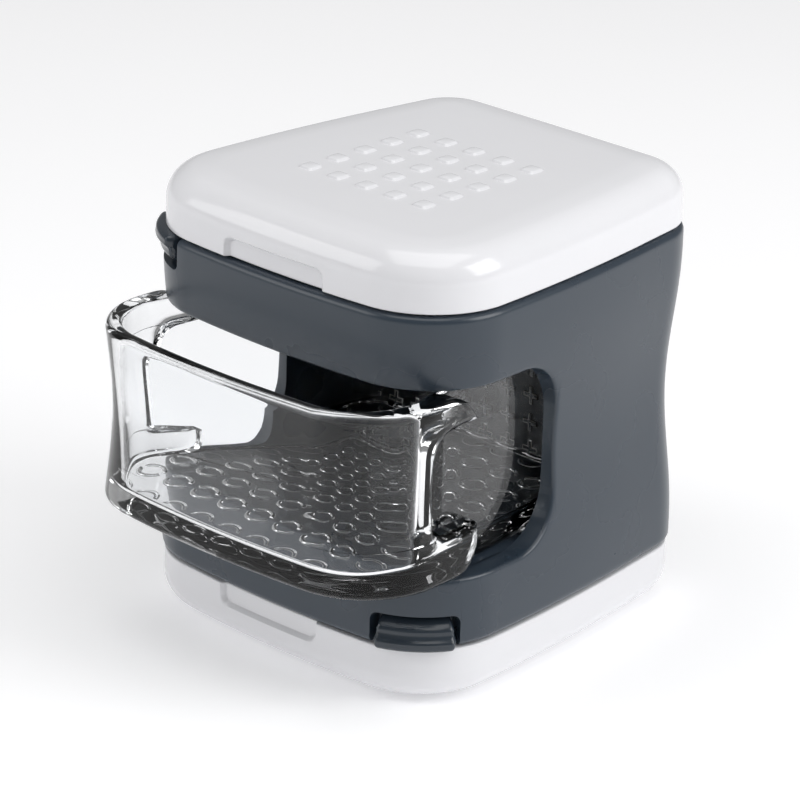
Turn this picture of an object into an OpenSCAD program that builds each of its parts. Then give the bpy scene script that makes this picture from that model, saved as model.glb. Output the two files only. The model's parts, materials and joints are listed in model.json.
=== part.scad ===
// Two-ended pill splitter: a waisted casing with a lid at each end and a clear catch drawer.
// The top end dices through a steel egg crate and the bottom end splits with one blade.
// Origin: under the middle of the square pattern on the top lid, on the surface it stands on.
// X is the width, -Y is the drawer side, +Z is up.

/* [Outline] */
// Half width between the virtual front corners
front_half = 38.6; // [32:0.2:46]
// Half width between the virtual back corners
back_half = 30.9; // [27:0.1:38]
// Distance of the front corners ahead of the origin
front_reach = 35.2; // [30:0.1:42]
// Distance of the back wall behind the origin
back_reach = 41.5; // [36:0.1:50]
// Bow of the front wall
front_bow = 3.2; // [0.5:0.1:5]
// Bow of each side wall
side_bow = 2.1; // [0.5:0.1:4]
// Bow of the back wall
back_bow = 0.2; // [0.1:0.1:2]
// Plan radius of the front corners
front_r = 17; // [12:0.5:19]
// Plan radius of the back corners
back_r = 11; // [7:0.5:14]

/* [Heights] */
// Overall height
total_h = 85.4; // [80:0.2:103]
// Height of each lid
lid_h = 11.5; // [10:0.1:14]
// Gap at the seam between a lid and the casing
seam_gap = 0.4; // [0.3:0.1:0.8]
// Height of the bay that the drawer runs in
bay_h = 35.3; // [28:0.1:40]

/* [Casing] */
// Wall of the casing at its rims
wall = 4.2; // [3.4:0.1:5]
// How far the rims stand proud of the lids
rim_proud = 0.4; // [0.2:0.1:0.8]
// Depth of the waist below the rims
waist = 2; // [0.5:0.1:2.4]
// Chamfer at the rims
rim_chamfer = 1.3; // [0.4:0.1:1.5]
// Thickness of the upper deck; the lower one is 0.9 thinner
deck_t = 2.8; // [2:0.1:4]
// Distance of the window's back edge behind the origin
window_back = -1.1; // [-3:0.1:6]
// Radius of the window's upper back corners
window_top_r = 11; // [3:0.5:14]
// Radius of the window's lower back corners
window_low_r = 11; // [6:0.5:14]

/* [Drawer] */
// Length that the drawer is pulled out by
pull = 15.2; // [0:0.1:40]
// Gap between the drawer and the decks
drawer_gap = 0.5; // [0.3:0.1:1]
// Gap between the cup and the casing's inner wall
cup_gap = 0.5; // [0.3:0.1:1]
// Side wall of the cup
cup_wall = 1.8; // [1.2:0.1:2.6]
// Front wall of the drawer
cup_front = 3; // [2:0.1:5]
// Wall of the drawer beside its front corners
grip_wall = 4.6; // [3.4:0.1:5.6]
// Floor of the cup
cup_floor = 3.4; // [2:0.1:5]
// Distance of the cup's back face behind the origin when shut
cup_back = 34; // [28:0.5:36]
// Distance of the side grips' tips ahead of the origin when shut
grip_tip = 5.9; // [4:0.1:12]
// Depth of the finger cut in the side grips
finger_depth = 11.9; // [4:0.1:14]
// Height of the flange above the finger cut
high_flange = 6; // [4:0.1:8]
// Height of the flange below the finger cut
low_flange = 8.7; // [6:0.1:11]
// Radius of the grip's upper back corner
grip_top_r = 10; // [6:0.5:12]
// Radius of the grip's lower back corner
grip_low_r = 7; // [5:0.5:9]

/* [Lids] */
// Wall of the lids
lid_wall = 3; // [2:0.1:3.6]
// Roof of the lids
lid_roof = 2.8; // [2:0.1:3.4]
// Rounding of the lids' outer edge
lid_round = 5.8; // [3:0.1:7.5]
// Rise of the crown in the middle of a lid
lid_crown = 0.3; // [0.2:0.1:1]
// Width of the thumb notch
notch_w = 24.5; // [16:0.5:30]
// Height of the thumb notch
notch_h = 4.1; // [3:0.1:6]
// Depth of the thumb notch
notch_d = 1; // [0.5:0.1:1.5]
// Side of each raised square
pad_w = 3; // [2:0.1:4]
// Height of each raised square above the lid
pad_h = 0.4; // [0.3:0.1:0.8]

/* [Cutting] */
// Pitch of the dicing blades, the presser's pegs and the raised squares
pitch = 7; // [5.8:0.1:8.4]
// Cells along each side of the dicing grid
cells = 5; // [3:1:5]
// Thickness of a dicing blade
blade_t = 0.5; // [0.3:0.1:0.8]
// Height of a dicing blade
blade_h = 4.6; // [3.4:0.1:5]
// Height of the frame that carries the blades
frame_h = 4.2; // [3.6:0.1:4.6]
// Wall of the frame
frame_wall = 2.4; // [1.8:0.1:3]
// Gap between a presser peg and its cell
peg_gap = 0.4; // [0.3:0.1:0.8]
// Length of the splitting blade
split_len = 28; // [20:1:32]
// Thickness of the splitting blade
split_t = 0.6; // [0.4:0.1:1]

/* [Hinges] */
// Distance of the hinge axis from the seam
hinge_drop = 4.5; // [4:0.1:6]
// Radius of the hinge pin
pin_r = 1; // [0.8:0.1:1.3]
// Radius of the knuckles
knuckle_r = 2.6; // [2.2:0.1:3]
// Half length of the lid's knuckle
knuckle_half = 12; // [8:0.5:14]
// Length of each casing knuckle
lug_len = 8; // [5:0.5:9]

/* [Latches] */
// Angle that a button spans around its corner
button_angle = 48; // [36:1:56]
// Height of a button
button_h = 6; // [5:0.1:7]
// How far a button overlaps the lid
button_over = 0.4; // [0.2:0.1:1]
// How far a button stands out from the lid
button_proud = 1.9; // [1:0.1:2.4]
// Travel of a button when pressed
button_travel = 1.2; // [0.8:0.1:1.3]

/* [Screws] */
// Radius of a screw's shank
screw_r = 1; // [0.8:0.1:1.2]
// Radius of a screw's head
screw_head_r = 1.9; // [1.6:0.1:2.2]
// Height of a screw's head
screw_head_h = 1.2; // [0.8:0.1:1.6]

/* [Hidden] */

$fn = 48;
eps = 0.01;
fit = 0.05;
part_gap = 0.3;
far = 200;

// Heights of the seams, the decks and the drawer
top_seam = total_h - lid_h;
case_low = lid_h + seam_gap / 2;
case_high = top_seam - seam_gap / 2;
mid_h = total_h / 2;
bay_low = mid_h - bay_h / 2 - 0.45;
bay_high = bay_low + bay_h;
deck_high = bay_high + deck_t;
drawer_low = bay_low + drawer_gap;
drawer_high = bay_high - drawer_gap;

// Underside of the lower deck, where the parts of the bottom end start
deck_low = total_h - deck_high;

// Hinge of the top lid; the bottom end is the same turned half a turn about Y
hinge_y = back_reach;
hinge_z = top_seam - hinge_drop;
notch_half = knuckle_half + part_gap;

// Dicing grid
grid_w = pitch * cells;
frame_w = grid_w + 2 * frame_wall;
blade_len = grid_w + frame_wall;
blade_z = deck_high + frame_h - blade_h + 1.6;
blade_top = blade_z + blade_h;
peg_w = pitch - blade_t - 2 * peg_gap;

// Planes inside a lid
lid_low = top_seam + seam_gap / 2;
lid_top = total_h - pad_h;
roof_z = lid_top - lid_roof - lid_crown;
plate_z = lid_low + 0.3;
plate_t = 2;

// Latch at the front left corner of the top end, worked out for the front right corner
latch_low = lid_h - button_over;
latch_turn = -49.5;

// --- plan outline ------------------------------------------------------------------

// A vector of length one
function unit(v) = v / norm(v);

// Points of the arc of radius r that rounds the corner p between a and b
function rounded(a, p, b, r, n) =
    let (u = unit(a - p))
    let (w = unit(b - p))
    let (half = acos(u * w) / 2)
    let (t = min(r / tan(half), min(norm(a - p), norm(b - p)) / 2))
    let (rr = t * tan(half))
    let (c = p + unit(u + w) * rr / sin(half))
    let (s = p + u * t - c)
    let (e = p + w * t - c)
    let (a0 = atan2(s[1], s[0]))
    let (turn = (atan2(e[1], e[0]) - a0 + 540) % 360 - 180)
    [for (k = [0:n - 1]) c + rr * [cos(a0 + turn * k / (n - 1)), sin(a0 + turn * k / (n - 1))]];

// Centre of the arc that rounds the corner p between a and b
function arc_centre(a, p, b, r) =
    let (u = unit(a - p))
    let (w = unit(b - p))
    p + unit(u + w) * r / sin(acos(u * w) / 2);

side_mid = [(front_half + back_half) / 2 + side_bow, (back_reach - front_reach) / 2];
corners = [[-front_half, -front_reach], [0, -front_reach - front_bow], [front_half, -front_reach],
    side_mid, [back_half, back_reach], [0, back_reach + back_bow], [-back_half, back_reach],
    [-side_mid[0], side_mid[1]]];
bow_r = 1000;
radii = [front_r, bow_r, front_r, bow_r, back_r, bow_r, back_r, bow_r];
arc_steps = [10, 6, 10, 6, 8, 3, 8, 6];

// Bowed walls with rounded corners, as one ring of points
outer_ring = [for (i = [0:7])
    each rounded(corners[(i + 7) % 8], corners[i], corners[(i + 1) % 8], radii[i], arc_steps[i])];
ring_n = len(outer_ring);

// Outward direction at each point of the ring
ring_out = [for (i = [0:ring_n - 1])
    let (d = unit(outer_ring[(i + 1) % ring_n] - outer_ring[(i + ring_n - 1) % ring_n]))
    [d[1], -d[0]]];

// The ring moved inwards by inset
function ring(inset) = [for (i = [0:ring_n - 1]) outer_ring[i] - ring_out[i] * inset];

// Centre of the front right corner's arc
latch_centre = arc_centre(corners[1], corners[2], corners[3], front_r);

// Inset of the casing's outer surface at height z: a raised cosine between the straight bands
waist_half = 27;
function waisted(z) =
    let (d = min(abs(z - mid_h) / waist_half, 1))
    waist * (0.5 + 0.5 * cos(180 * d)) - rim_proud;

// --- shared shapes -----------------------------------------------------------------

// Closed skin through rings; each level is [height, inset]
module skin(levels) {
    n = ring_n;
    m = len(levels);
    pts = [for (l = levels) each [for (p = ring(l[1])) [p[0], p[1], l[0]]]];
    sides = [for (j = [0:m - 2]) each [for (i = [0:n - 1]) each [
        [j * n + i, (j + 1) * n + i, (j + 1) * n + (i + 1) % n],
        [j * n + i, (j + 1) * n + (i + 1) % n, j * n + (i + 1) % n]]]];
    low = [for (i = [0:n - 1]) i];
    high = [for (i = [0:n - 1]) m * n - 1 - i];
    polyhedron(pts, concat(sides, [low, high]), convexity = 6);
}

// Straight block with the plan outline moved inwards by inset
module slab(inset, low, high) {
    translate([0, 0, low])
        linear_extrude(high - low)
            polygon(ring(inset));
}

// Half turn about Y at mid height: takes a part of the top end to the bottom end
module bottom_end() {
    translate([0, 0, total_h])
        rotate([0, 180, 0])
            children();
}

// Flat shape in the side view, with Y across and Z up, carried along X
module side_view(len) {
    rotate([90, 0, 90])
        translate([0, 0, -len / 2])
            linear_extrude(len)
                children();
}

// Cylinder along X centred on the origin
module rod_x(r, len) {
    rotate([0, 90, 0])
        cylinder(r = r, h = len, center = true);
}

// Children placed at four points, half apart in X and in Y around the origin
module four(dx, dy) {
    for (sx = [-1, 1])
        for (sy = [-1, 1])
            translate([sx * dx, sy * dy, 0])
                children();
}

// Pan head screw with its head at the bottom, pointing up
module screw(len) {
    cylinder(r = screw_head_r, h = screw_head_h);
    translate([0, 0, screw_head_h - eps])
        cylinder(r = screw_r, h = len + eps);
}

// Sector of a ring about the front right corner's centre, with a profile of [radius, height]
module corner_sweep(angle, profile) {
    translate([latch_centre[0], latch_centre[1], 0])
        rotate([0, 0, latch_turn - angle / 2])
            rotate_extrude(angle = angle, $fn = 96)
                polygon(profile);
}

// Frame at the corner: X runs outwards through the button
module corner_frame(z) {
    translate([latch_centre[0], latch_centre[1], z])
        rotate([0, 0, latch_turn])
            children();
}

// --- casing ------------------------------------------------------------------------

button_gap_angle = 2;
pocket_r = front_r - 3;
spring_r = 2.2;
spring_seat = front_r - 6.8;
latch_z = latch_low + button_h / 2 + 0.8;
hook_half = 3;
hook_low = lid_h - 2.2;
hook_high = lid_h + 1.1;
hook_r = front_r - 4.4;

// Room for a latch: button pocket, spring bore and the slot for the hook
module latch_room() {
    top = latch_low + button_h + 0.7;
    corner_sweep(button_angle + 2 * button_gap_angle,
        [[pocket_r, 0], [front_r + 6, 0], [front_r + 6, top], [pocket_r, top]]);
    corner_frame(latch_z)
        translate([spring_seat, 0, 0])
            rotate([0, 90, 0])
                cylinder(r = spring_r, h = pocket_r - spring_seat + 1);
    corner_frame(0)
        translate([hook_r - button_travel - part_gap, -hook_half - part_gap, 0])
            cube([4.6, 2 * (hook_half + part_gap), hook_high + part_gap]);
}

// Boss around the spring bore
module latch_boss() {
    corner_frame(latch_z)
        translate([spring_seat - 1, 0, 0])
            rotate([0, 90, 0])
                cylinder(r = spring_r + 1, h = pocket_r - spring_seat + 1.4);
}

// Notch in the back wall for the knuckle of the top lid
module hinge_notch() {
    translate([-notch_half, hinge_y - wall - 2, hinge_z - knuckle_r - part_gap])
        cube([2 * notch_half, wall + 12, far]);
}

// Two knuckles of the casing at the top end
module hinge_lugs() {
    for (s = [-1, 1])
        translate([s * (notch_half + lug_len / 2), hinge_y, hinge_z])
            rod_x(knuckle_r, lug_len);
}

// Side view of the window: rounded at the back, open at the front
module window_cut() {
    side_view(far)
        difference() {
            translate([-far, bay_low])
                square([far + window_back, bay_h]);
            window_corner(window_low_r, bay_low, 1);
            window_corner(window_top_r, bay_high, -1);
        }
}

// What a rounded back corner of the window leaves standing
module window_corner(r, z, up) {
    difference() {
        translate([window_back - r, min(z, z + up * r) - eps])
            square([r + 1, r + 2 * eps]);
        translate([window_back - r, z + up * r])
            circle(r = r, $fn = 64);
        translate([window_back - r, up > 0 ? z + r : z - 2 * r])
            square([r + 2, r]);
    }
}

module casing() {
    steps = 12;
    chamfers = [[case_low, rim_chamfer - rim_proud], [case_low + rim_chamfer, -rim_proud]];
    span = case_high - case_low - 2 * rim_chamfer;
    body = [for (k = [1:steps - 1])
        let (z = case_low + rim_chamfer + span * k / steps)
        [z, waisted(z)]];
    crown = [[case_high - rim_chamfer, -rim_proud], [case_high, rim_chamfer - rim_proud]];
    color("#4b565f")
    difference() {
        union() {
            difference() {
                skin(concat(chamfers, body, crown));
                slab(wall, deck_high, case_high + 1);
                slab(wall, case_low - 1, deck_low);
                slab(wall, bay_low, bay_high);
                window_cut();
            }
            hinge_lugs();
            bottom_end()
                hinge_lugs();
            intersection() {
                latch_boss();
                slab(1, case_low, bay_low);
            }
            bottom_end()
                intersection() {
                    latch_boss();
                    slab(1, case_low, bay_low);
                }
            deck_posts();
            bottom_end()
                deck_posts();
        }
        translate([-grid_w / 2, -grid_w / 2, bay_high - 1])
            cube([grid_w, grid_w, deck_t + 2]);
        hinge_notch();
        bottom_end()
            hinge_notch();
        for (z = [hinge_z, total_h - hinge_z])
            translate([0, hinge_y, z])
                rod_x(pin_r + 0.03, 2 * (notch_half + lug_len) + 2);
        latch_room();
        bottom_end()
            latch_room();
        deck_bores();
        bottom_end()
            deck_bores();
    }
}

// Screw posts on a deck for the insert above it, clear of the frame and its skirt
skirt_wall = 1.2;
post_r = 2.6;
post_x = frame_w / 2 + skirt_wall + post_r + part_gap;
post_y = 21;
post_h = 4;
module deck_posts() {
    translate([0, 0, deck_high - eps])
        four(post_x, post_y)
            cylinder(r = post_r, h = post_h);
}

module deck_bores() {
    translate([0, 0, deck_high - 1])
        four(post_x, post_y)
            cylinder(r = screw_r + fit, h = post_h + 2);
}

// --- top end: dicing ---------------------------------------------------------------

insert_t = 2.6;
well_top = deck_high + post_h + insert_t;

// Insert plate with the square well above the blades
module top_well() {
    low = deck_high + post_h;
    color("#dfe3e6")
    difference() {
        union() {
            slab(wall + part_gap, low, well_top);
            translate([-frame_w / 2 - skirt_wall, -frame_w / 2 - skirt_wall, deck_high])
                cube([frame_w + 2 * skirt_wall, frame_w + 2 * skirt_wall, post_h + 1]);
        }
        translate([-frame_w / 2 - fit, -frame_w / 2 - fit, deck_high - 1])
            cube([frame_w + 2 * fit, frame_w + 2 * fit, frame_h + 1 + fit]);
        translate([-grid_w / 2, -grid_w / 2, deck_high])
            cube([grid_w, grid_w, far]);
        translate([0, 0, low - 1])
            four(post_x, post_y)
                cylinder(r = screw_r + fit, h = far);
        hinge_notch();
        insert_corner_cut();
    }
}

// Room in an insert for the latch boss and the hook of the top end
module insert_corner_cut() {
    bottom_end()
        corner_frame(0)
            translate([spring_seat - 1.6, -hook_half - 1.2, 0])
                cube([far, 2 * hook_half + 2.4, mid_h]);
}

// Screws that hold an insert of the top end on its posts
module insert_screws() {
    translate([0, 0, well_top + screw_head_h])
        four(post_x, post_y)
            rotate([180, 0, 0])
                screw(6.4);
}

module top_well_screws() {
    color("#b9bcc0")
        insert_screws();
}

// Square frame with slots for the blade ends
module dicing_frame() {
    color("#d4d8da")
    difference() {
        translate([-frame_w / 2, -frame_w / 2, deck_high])
            cube([frame_w, frame_w, frame_h]);
        translate([-grid_w / 2, -grid_w / 2, deck_high - 1])
            cube([grid_w, grid_w, frame_h + 2]);
        for (a = [0, 90])
            rotate([0, 0, a])
                for (k = [1:cells - 1])
                    translate([0, (k - cells / 2) * pitch, deck_high + frame_h / 2 + 5])
                        cube([blade_len + 2 * fit, blade_t + 2 * fit,
                            frame_h + 10 - 2 * (blade_z - deck_high - fit)], center = true);
    }
}

// Blades along X, slotted from above; turned by 90 degrees and slotted from below along Y
module blade_set(slot_up) {
    half = blade_h / 2;
    edge = 0.4;
    for (k = [1:cells - 1])
        translate([0, (k - cells / 2) * pitch, blade_z])
            difference() {
                rotate([90, 0, 90])
                    translate([0, 0, -blade_len / 2])
                        linear_extrude(blade_len)
                            polygon([[-blade_t / 2, 0], [blade_t / 2, 0],
                                [blade_t / 2, blade_h - edge], [0, blade_h],
                                [-blade_t / 2, blade_h - edge]]);
                for (j = [1:cells - 1])
                    translate([(j - cells / 2) * pitch - blade_t / 2 - fit, -1,
                        slot_up ? half - fit : -1])
                        cube([blade_t + 2 * fit, 2, slot_up ? half + 2 : half + 1 + fit]);
                blade_end_trim(1);
                blade_end_trim(-1);
            }
}

// Takes a blade's end down to the height of the frame
module blade_end_trim(side) {
    translate([side * (blade_len + grid_w) / 4 - (blade_len - grid_w) / 4 - 1.5, -1,
        deck_high + frame_h - blade_z - fit])
        cube([(blade_len - grid_w) / 2 + 3, 2, blade_h]);
}

module dicing_blades_x() {
    color("#c9ccd0")
        blade_set(true);
}

module dicing_blades_y() {
    color("#c9ccd0")
        rotate([0, 0, 90])
            blade_set(false);
}

// --- bottom end: splitting ---------------------------------------------------------

// Tray with a V of two guide walls that hold a pill under the blade
module split_tray() {
    color("#dfe3e6")
    bottom_end()
        difference() {
            union() {
                slab(wall + part_gap, deck_high + post_h, well_top);
                intersection() {
                    translate([-15, -17, deck_high])
                        cube([30, 34, post_h + eps]);
                    slab(wall + part_gap, deck_high, deck_high + post_h + eps);
                }
            }
            translate([0, 0, deck_high + 1.2])
                linear_extrude(far)
                    polygon([[0, 15], [-13, -8], [-8, -15], [8, -15], [13, -8]]);
            translate([-split_t / 2 - 0.4, -split_len / 2 - 1, deck_high + 0.4])
                cube([split_t + 0.8, split_len + 2, far]);
            translate([0, 0, deck_high - 1])
                four(post_x, post_y)
                    cylinder(r = screw_r + fit, h = far);
            hinge_notch();
            insert_corner_cut();
        }
}

module split_tray_screws() {
    color("#b9bcc0")
        bottom_end()
            insert_screws();
}

// --- lids --------------------------------------------------------------------------

// Rounded and crowned outer skin of the top lid
module lid_skin() {
    arc = 7;
    sweep = 80;
    rise = lid_crown + lid_round * (1 - sin(sweep));
    straight = lid_top - lid_crown - lid_round;
    turned = lid_round * (1 - cos(sweep));
    crown_run = back_r - 1 - turned;
    rim = [[lid_low, 0]];
    turn = [for (k = [0:arc])
        [straight + lid_round * sin(sweep * k / arc), lid_round * (1 - cos(sweep * k / arc))]];
    top = [for (f = [0.4, 1])
        [lid_top - rise * (1 - sin(90 * f)), turned + crown_run * f]];
    skin(concat(rim, turn, top));
}

boss_x = 24;
boss_y = 22;

module lid_shell() {
    difference() {
        union() {
            difference() {
                lid_skin();
                slab(lid_wall, lid_low - 1, roof_z);
            }
            translate([0, 0, plate_z + plate_t + part_gap])
                four(boss_x, boss_y)
                    cylinder(r = 2.6, h = roof_z - plate_z - plate_t - part_gap + 0.5);
            for (ix = [0:cells - 1])
                for (iy = [0:cells - 1])
                    translate([(ix - (cells - 1) / 2) * pitch, (iy - (cells - 1) / 2) * pitch,
                        lid_top - 1])
                        raised_square();
            translate([-knuckle_half, hinge_y - 2.8, hinge_z])
                cube([2 * knuckle_half, 2.8, hinge_drop + 1]);
            translate([0, hinge_y, hinge_z])
                rod_x(knuckle_r, 2 * knuckle_half);
        }
        translate([0, 0, plate_z])
            four(boss_x, boss_y)
                cylinder(r = screw_r + fit, h = roof_z - plate_z);
        translate([0, hinge_y, hinge_z])
            rod_x(pin_r + 0.06, 2 * knuckle_half + 2);
        thumb_notch();
        bottom_end()
            corner_sweep(button_angle + 2 * button_gap_angle,
                [[front_r - lid_wall - 1, latch_low - 0.4], [front_r + 6, latch_low - 0.4],
                [front_r + 6, lid_h + 5], [front_r - lid_wall - 1, lid_h + 5]]);
    }
}

// One raised square, its foot inside the roof
module raised_square() {
    translate([-pad_w / 2, -pad_w / 2, 0])
        cube([pad_w, pad_w, 1 + pad_h]);
}

// Shallow notch for a thumb in the middle of the front rim
module thumb_notch() {
    difference() {
        translate([-notch_w / 2, -front_reach - front_bow - 3, lid_low - 1])
            cube([notch_w, 12, notch_h + 1]);
        slab(notch_d, lid_low - 2, lid_low + notch_h + 1);
    }
}

module top_lid() {
    color("#f2f2f4")
        lid_shell();
}

module bottom_lid() {
    color("#f2f2f4")
        bottom_end()
            lid_shell();
}

// Liner of the top lid with one peg for each cell of the dicing grid
module presser() {
    color("#c3c8cc")
    difference() {
        union() {
            slab(lid_wall + part_gap, plate_z, plate_z + plate_t);
            for (ix = [0:cells - 1])
                for (iy = [0:cells - 1])
                    translate([(ix - (cells - 1) / 2) * pitch - peg_w / 2,
                        (iy - (cells - 1) / 2) * pitch - peg_w / 2, blade_top + 0.4])
                        cube([peg_w, peg_w, plate_z - blade_top]);
        }
        translate([0, 0, plate_z - 1])
            four(boss_x, boss_y)
                cylinder(r = screw_r + fit, h = plate_t + 2);
        lid_corner_cut();
    }
}

// Room in a liner for the hook of a latch
module lid_corner_cut() {
    bottom_end()
        corner_frame(-1)
            translate([front_r - 7, -hook_half - 1, 0])
                cube([20, 2 * hook_half + 2, mid_h]);
}

// Screws that hold a liner in a lid, driven from the seam side
module liner_screws() {
    translate([0, 0, plate_z - screw_head_h])
        four(boss_x, boss_y)
            screw(plate_t + 3.4);
}

module presser_screws() {
    color("#b9bcc0")
        liner_screws();
}

// Liner of the bottom lid with the clamp of the splitting blade
holder_half = 4;
holder_low = well_top + 0.6;
module blade_holder() {
    color("#c3c8cc")
    bottom_end()
        difference() {
            union() {
                slab(lid_wall + part_gap, plate_z, plate_z + plate_t);
                translate([-holder_half, -split_len / 2 - 2, holder_low])
                    cube([2 * holder_half, split_len + 4, plate_z + 3.6 - holder_low]);
            }
            translate([-split_t / 2 - fit, -split_len / 2 - fit, 0])
                cube([split_t + 2 * fit, split_len + 2 * fit, plate_z + 2.6 + fit]);
            translate([0, 0, plate_z - 1])
                four(boss_x, boss_y)
                    cylinder(r = screw_r + fit, h = plate_t + 2);
            lid_corner_cut();
        }
}

module blade_holder_screws() {
    color("#b9bcc0")
        bottom_end()
            liner_screws();
}

// Splitting blade with a bevelled edge
module split_blade() {
    edge = deck_high + 1.6;
    color("#c9ccd0")
    bottom_end()
        translate([0, -split_len / 2, 0])
            rotate([90, 0, 180])
                linear_extrude(split_len)
                    polygon([[0, edge], [split_t / 2, edge + 2], [split_t / 2, plate_z + 2.6],
                        [-split_t / 2, plate_z + 2.6], [-split_t / 2, edge + 2]]);
}

// --- hinge pins, latches and springs -----------------------------------------------

module hinge_pin() {
    translate([0, hinge_y, hinge_z])
        rod_x(pin_r, 2 * (notch_half + lug_len));
}

module top_hinge_pin() {
    color("#b9bcc0")
        hinge_pin();
}

module bottom_hinge_pin() {
    color("#b9bcc0")
        bottom_end()
            hinge_pin();
}

button_in = pocket_r + button_travel + 0.2;
button_out = front_r + button_proud;

// Push button for the bottom end with its spring stem and hook
module latch() {
    top = latch_low + button_h;
    groove = 0.7;
    corner_sweep(button_angle,
        [[button_in, latch_low], [button_out - 0.7, latch_low], [button_out, latch_low + 0.7],
        [button_out, latch_low + 0.28 * button_h],
        [button_out - 0.7 * groove, latch_low + 0.36 * button_h],
        [button_out - groove, latch_low + 0.5 * button_h],
        [button_out - 0.8 * groove, latch_low + 0.66 * button_h],
        [button_out - 0.1, top - 0.9], [button_out - 0.8, top], [button_in, top]]);
    corner_frame(latch_z)
        translate([spring_seat + button_travel + 0.3, 0, 0])
            rotate([0, 90, 0])
                cylinder(r = 1.2, h = button_in - spring_seat - button_travel);
    corner_frame(hook_low)
        translate([hook_r, -hook_half, 0])
            cube([1, 2 * hook_half, hook_high - hook_low]);
    corner_frame(hook_high - 1)
        translate([hook_r, -hook_half, 0])
            cube([button_in - hook_r + 0.6, 2 * hook_half, 1]);
}

module top_latch() {
    color("#434d56")
        bottom_end()
            latch();
}

module bottom_latch() {
    color("#434d56")
        latch();
}

// Coil spring along X from 0 to len, as a tube swept along its helix
module coil(r, wire, len, turns) {
    sides = 6;
    per_turn = 14;
    n = turns * per_turn;
    pts = [for (k = [0:n]) each [for (j = [0:sides - 1])
        let (a = 360 * k / per_turn)
        let (b = 360 * j / sides)
        let (rad = r + wire * cos(b))
        [wire + (len - 2 * wire) * k / n + wire * sin(b), rad * cos(a), rad * sin(a)]]];
    skins = [for (k = [0:n - 1]) each [for (j = [0:sides - 1]) each [
        [k * sides + j, k * sides + (j + 1) % sides, (k + 1) * sides + (j + 1) % sides],
        [k * sides + j, (k + 1) * sides + (j + 1) % sides, (k + 1) * sides + j]]]];
    first = [for (j = [0:sides - 1]) sides - 1 - j];
    last = [for (j = [0:sides - 1]) n * sides + j];
    polyhedron(pts, concat(skins, [first, last]), convexity = 8);
}

module latch_spring() {
    corner_frame(latch_z)
        translate([spring_seat + 0.1, 0, 0])
            coil(1.75, 0.22, button_in - spring_seat - 0.2, 4);
}

module top_latch_spring() {
    color("#b9bcc0")
        bottom_end()
            latch_spring();
}

module bottom_latch_spring() {
    color("#b9bcc0")
        latch_spring();
}

// --- drawer ------------------------------------------------------------------------

cup_in = wall + cup_gap + cup_wall;

// Inset of the cup's inner wall at depth y: thin in front, thicker at the grips, full behind them
function cup_inset(y) =
    let (corner = min(max((y + front_reach) / 11, 0), 1))
    let (rear = min(max((y + 24) / 14, 0), 1))
    cup_front + (grip_wall - cup_front) * corner + (cup_in - grip_wall) * rear;

cup_ring = [for (i = [0:ring_n - 1]) outer_ring[i] - ring_out[i] * cup_inset(outer_ring[i][1])];

// Cup inside the casing, with a thicker front that follows the casing's outline
module drawer() {
    steps = 8;
    lip = 0.8;
    span = drawer_high - drawer_low - 2 * lip;
    low_lip = [[drawer_low, lip - rim_proud / 2], [drawer_low + lip, waisted(drawer_low) - 0.2]];
    body = [for (k = [1:steps - 1])
        let (z = drawer_low + lip + span * k / steps)
        [z, waisted(z)]];
    high_lip = [[drawer_high - lip, waisted(drawer_high) - 0.2], [drawer_high, lip - rim_proud / 2]];
    color("#dfe7ec", 0.45)
    translate([0, -pull, 0])
        difference() {
            union() {
                intersection() {
                    skin(concat(low_lip, body, high_lip));
                    side_view(far)
                        grip_side();
                }
                intersection() {
                    slab(wall + cup_gap, drawer_low, drawer_high);
                    translate([-far / 2, -far, 0])
                        cube([far, far + cup_back, far]);
                }
            }
            intersection() {
                translate([0, 0, drawer_low + cup_floor])
                    linear_extrude(far)
                        polygon(cup_ring);
                translate([-far / 2, -far, 0])
                    cube([far, far + cup_back - 2, far]);
            }
            finger_cut();
        }
}

// Side view of the front: everything ahead of the grips' tips, with rounded back corners
module grip_side() {
    hull() {
        translate([-far / 2, drawer_low])
            square([1, drawer_high - drawer_low]);
        translate([-grip_tip - grip_top_r, drawer_high - grip_top_r])
            circle(r = grip_top_r, $fn = 64);
        translate([-grip_tip - grip_low_r, drawer_low + grip_low_r])
            circle(r = grip_low_r, $fn = 64);
    }
}

// Rounded cut between the grips' flanges, as deep as the cup's side walls
module finger_cut() {
    top_r = 4.5;
    low_r = 2;
    front = -grip_tip - finger_depth;
    low = drawer_low + low_flange;
    high = drawer_high - high_flange;
    difference() {
        side_view(far)
            hull() {
                translate([front + top_r, high - top_r])
                    circle(r = top_r);
                translate([front + low_r, low + low_r])
                    circle(r = low_r);
                translate([far / 4, low])
                    square([1, high - low]);
            }
        slab(wall + cup_gap, 0, far);
    }
}

casing();
top_well();
top_well_screws();
dicing_frame();
dicing_blades_x();
dicing_blades_y();
split_tray();
split_tray_screws();
top_hinge_pin();
bottom_hinge_pin();
top_latch_spring();
bottom_latch_spring();
top_lid();
presser();
presser_screws();
bottom_lid();
blade_holder();
split_blade();
blade_holder_screws();
drawer();
top_latch();
bottom_latch();
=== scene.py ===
# %% [markdown]
# # A two-ended pill splitter
# A waisted slate-grey casing with a white lid hinged at each end, a push button at two
# opposite corners and a crystal-clear drawer that is pulled out by about 15 mm.
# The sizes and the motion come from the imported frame. This file only makes the looks:
# each visible shell is a surface worked out with numpy, and each finish is a material
# built from what the real piece is made of.

# %% Load the frame
import json
import math

import bpy
import numpy as np
from mathutils import Matrix, Vector


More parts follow.
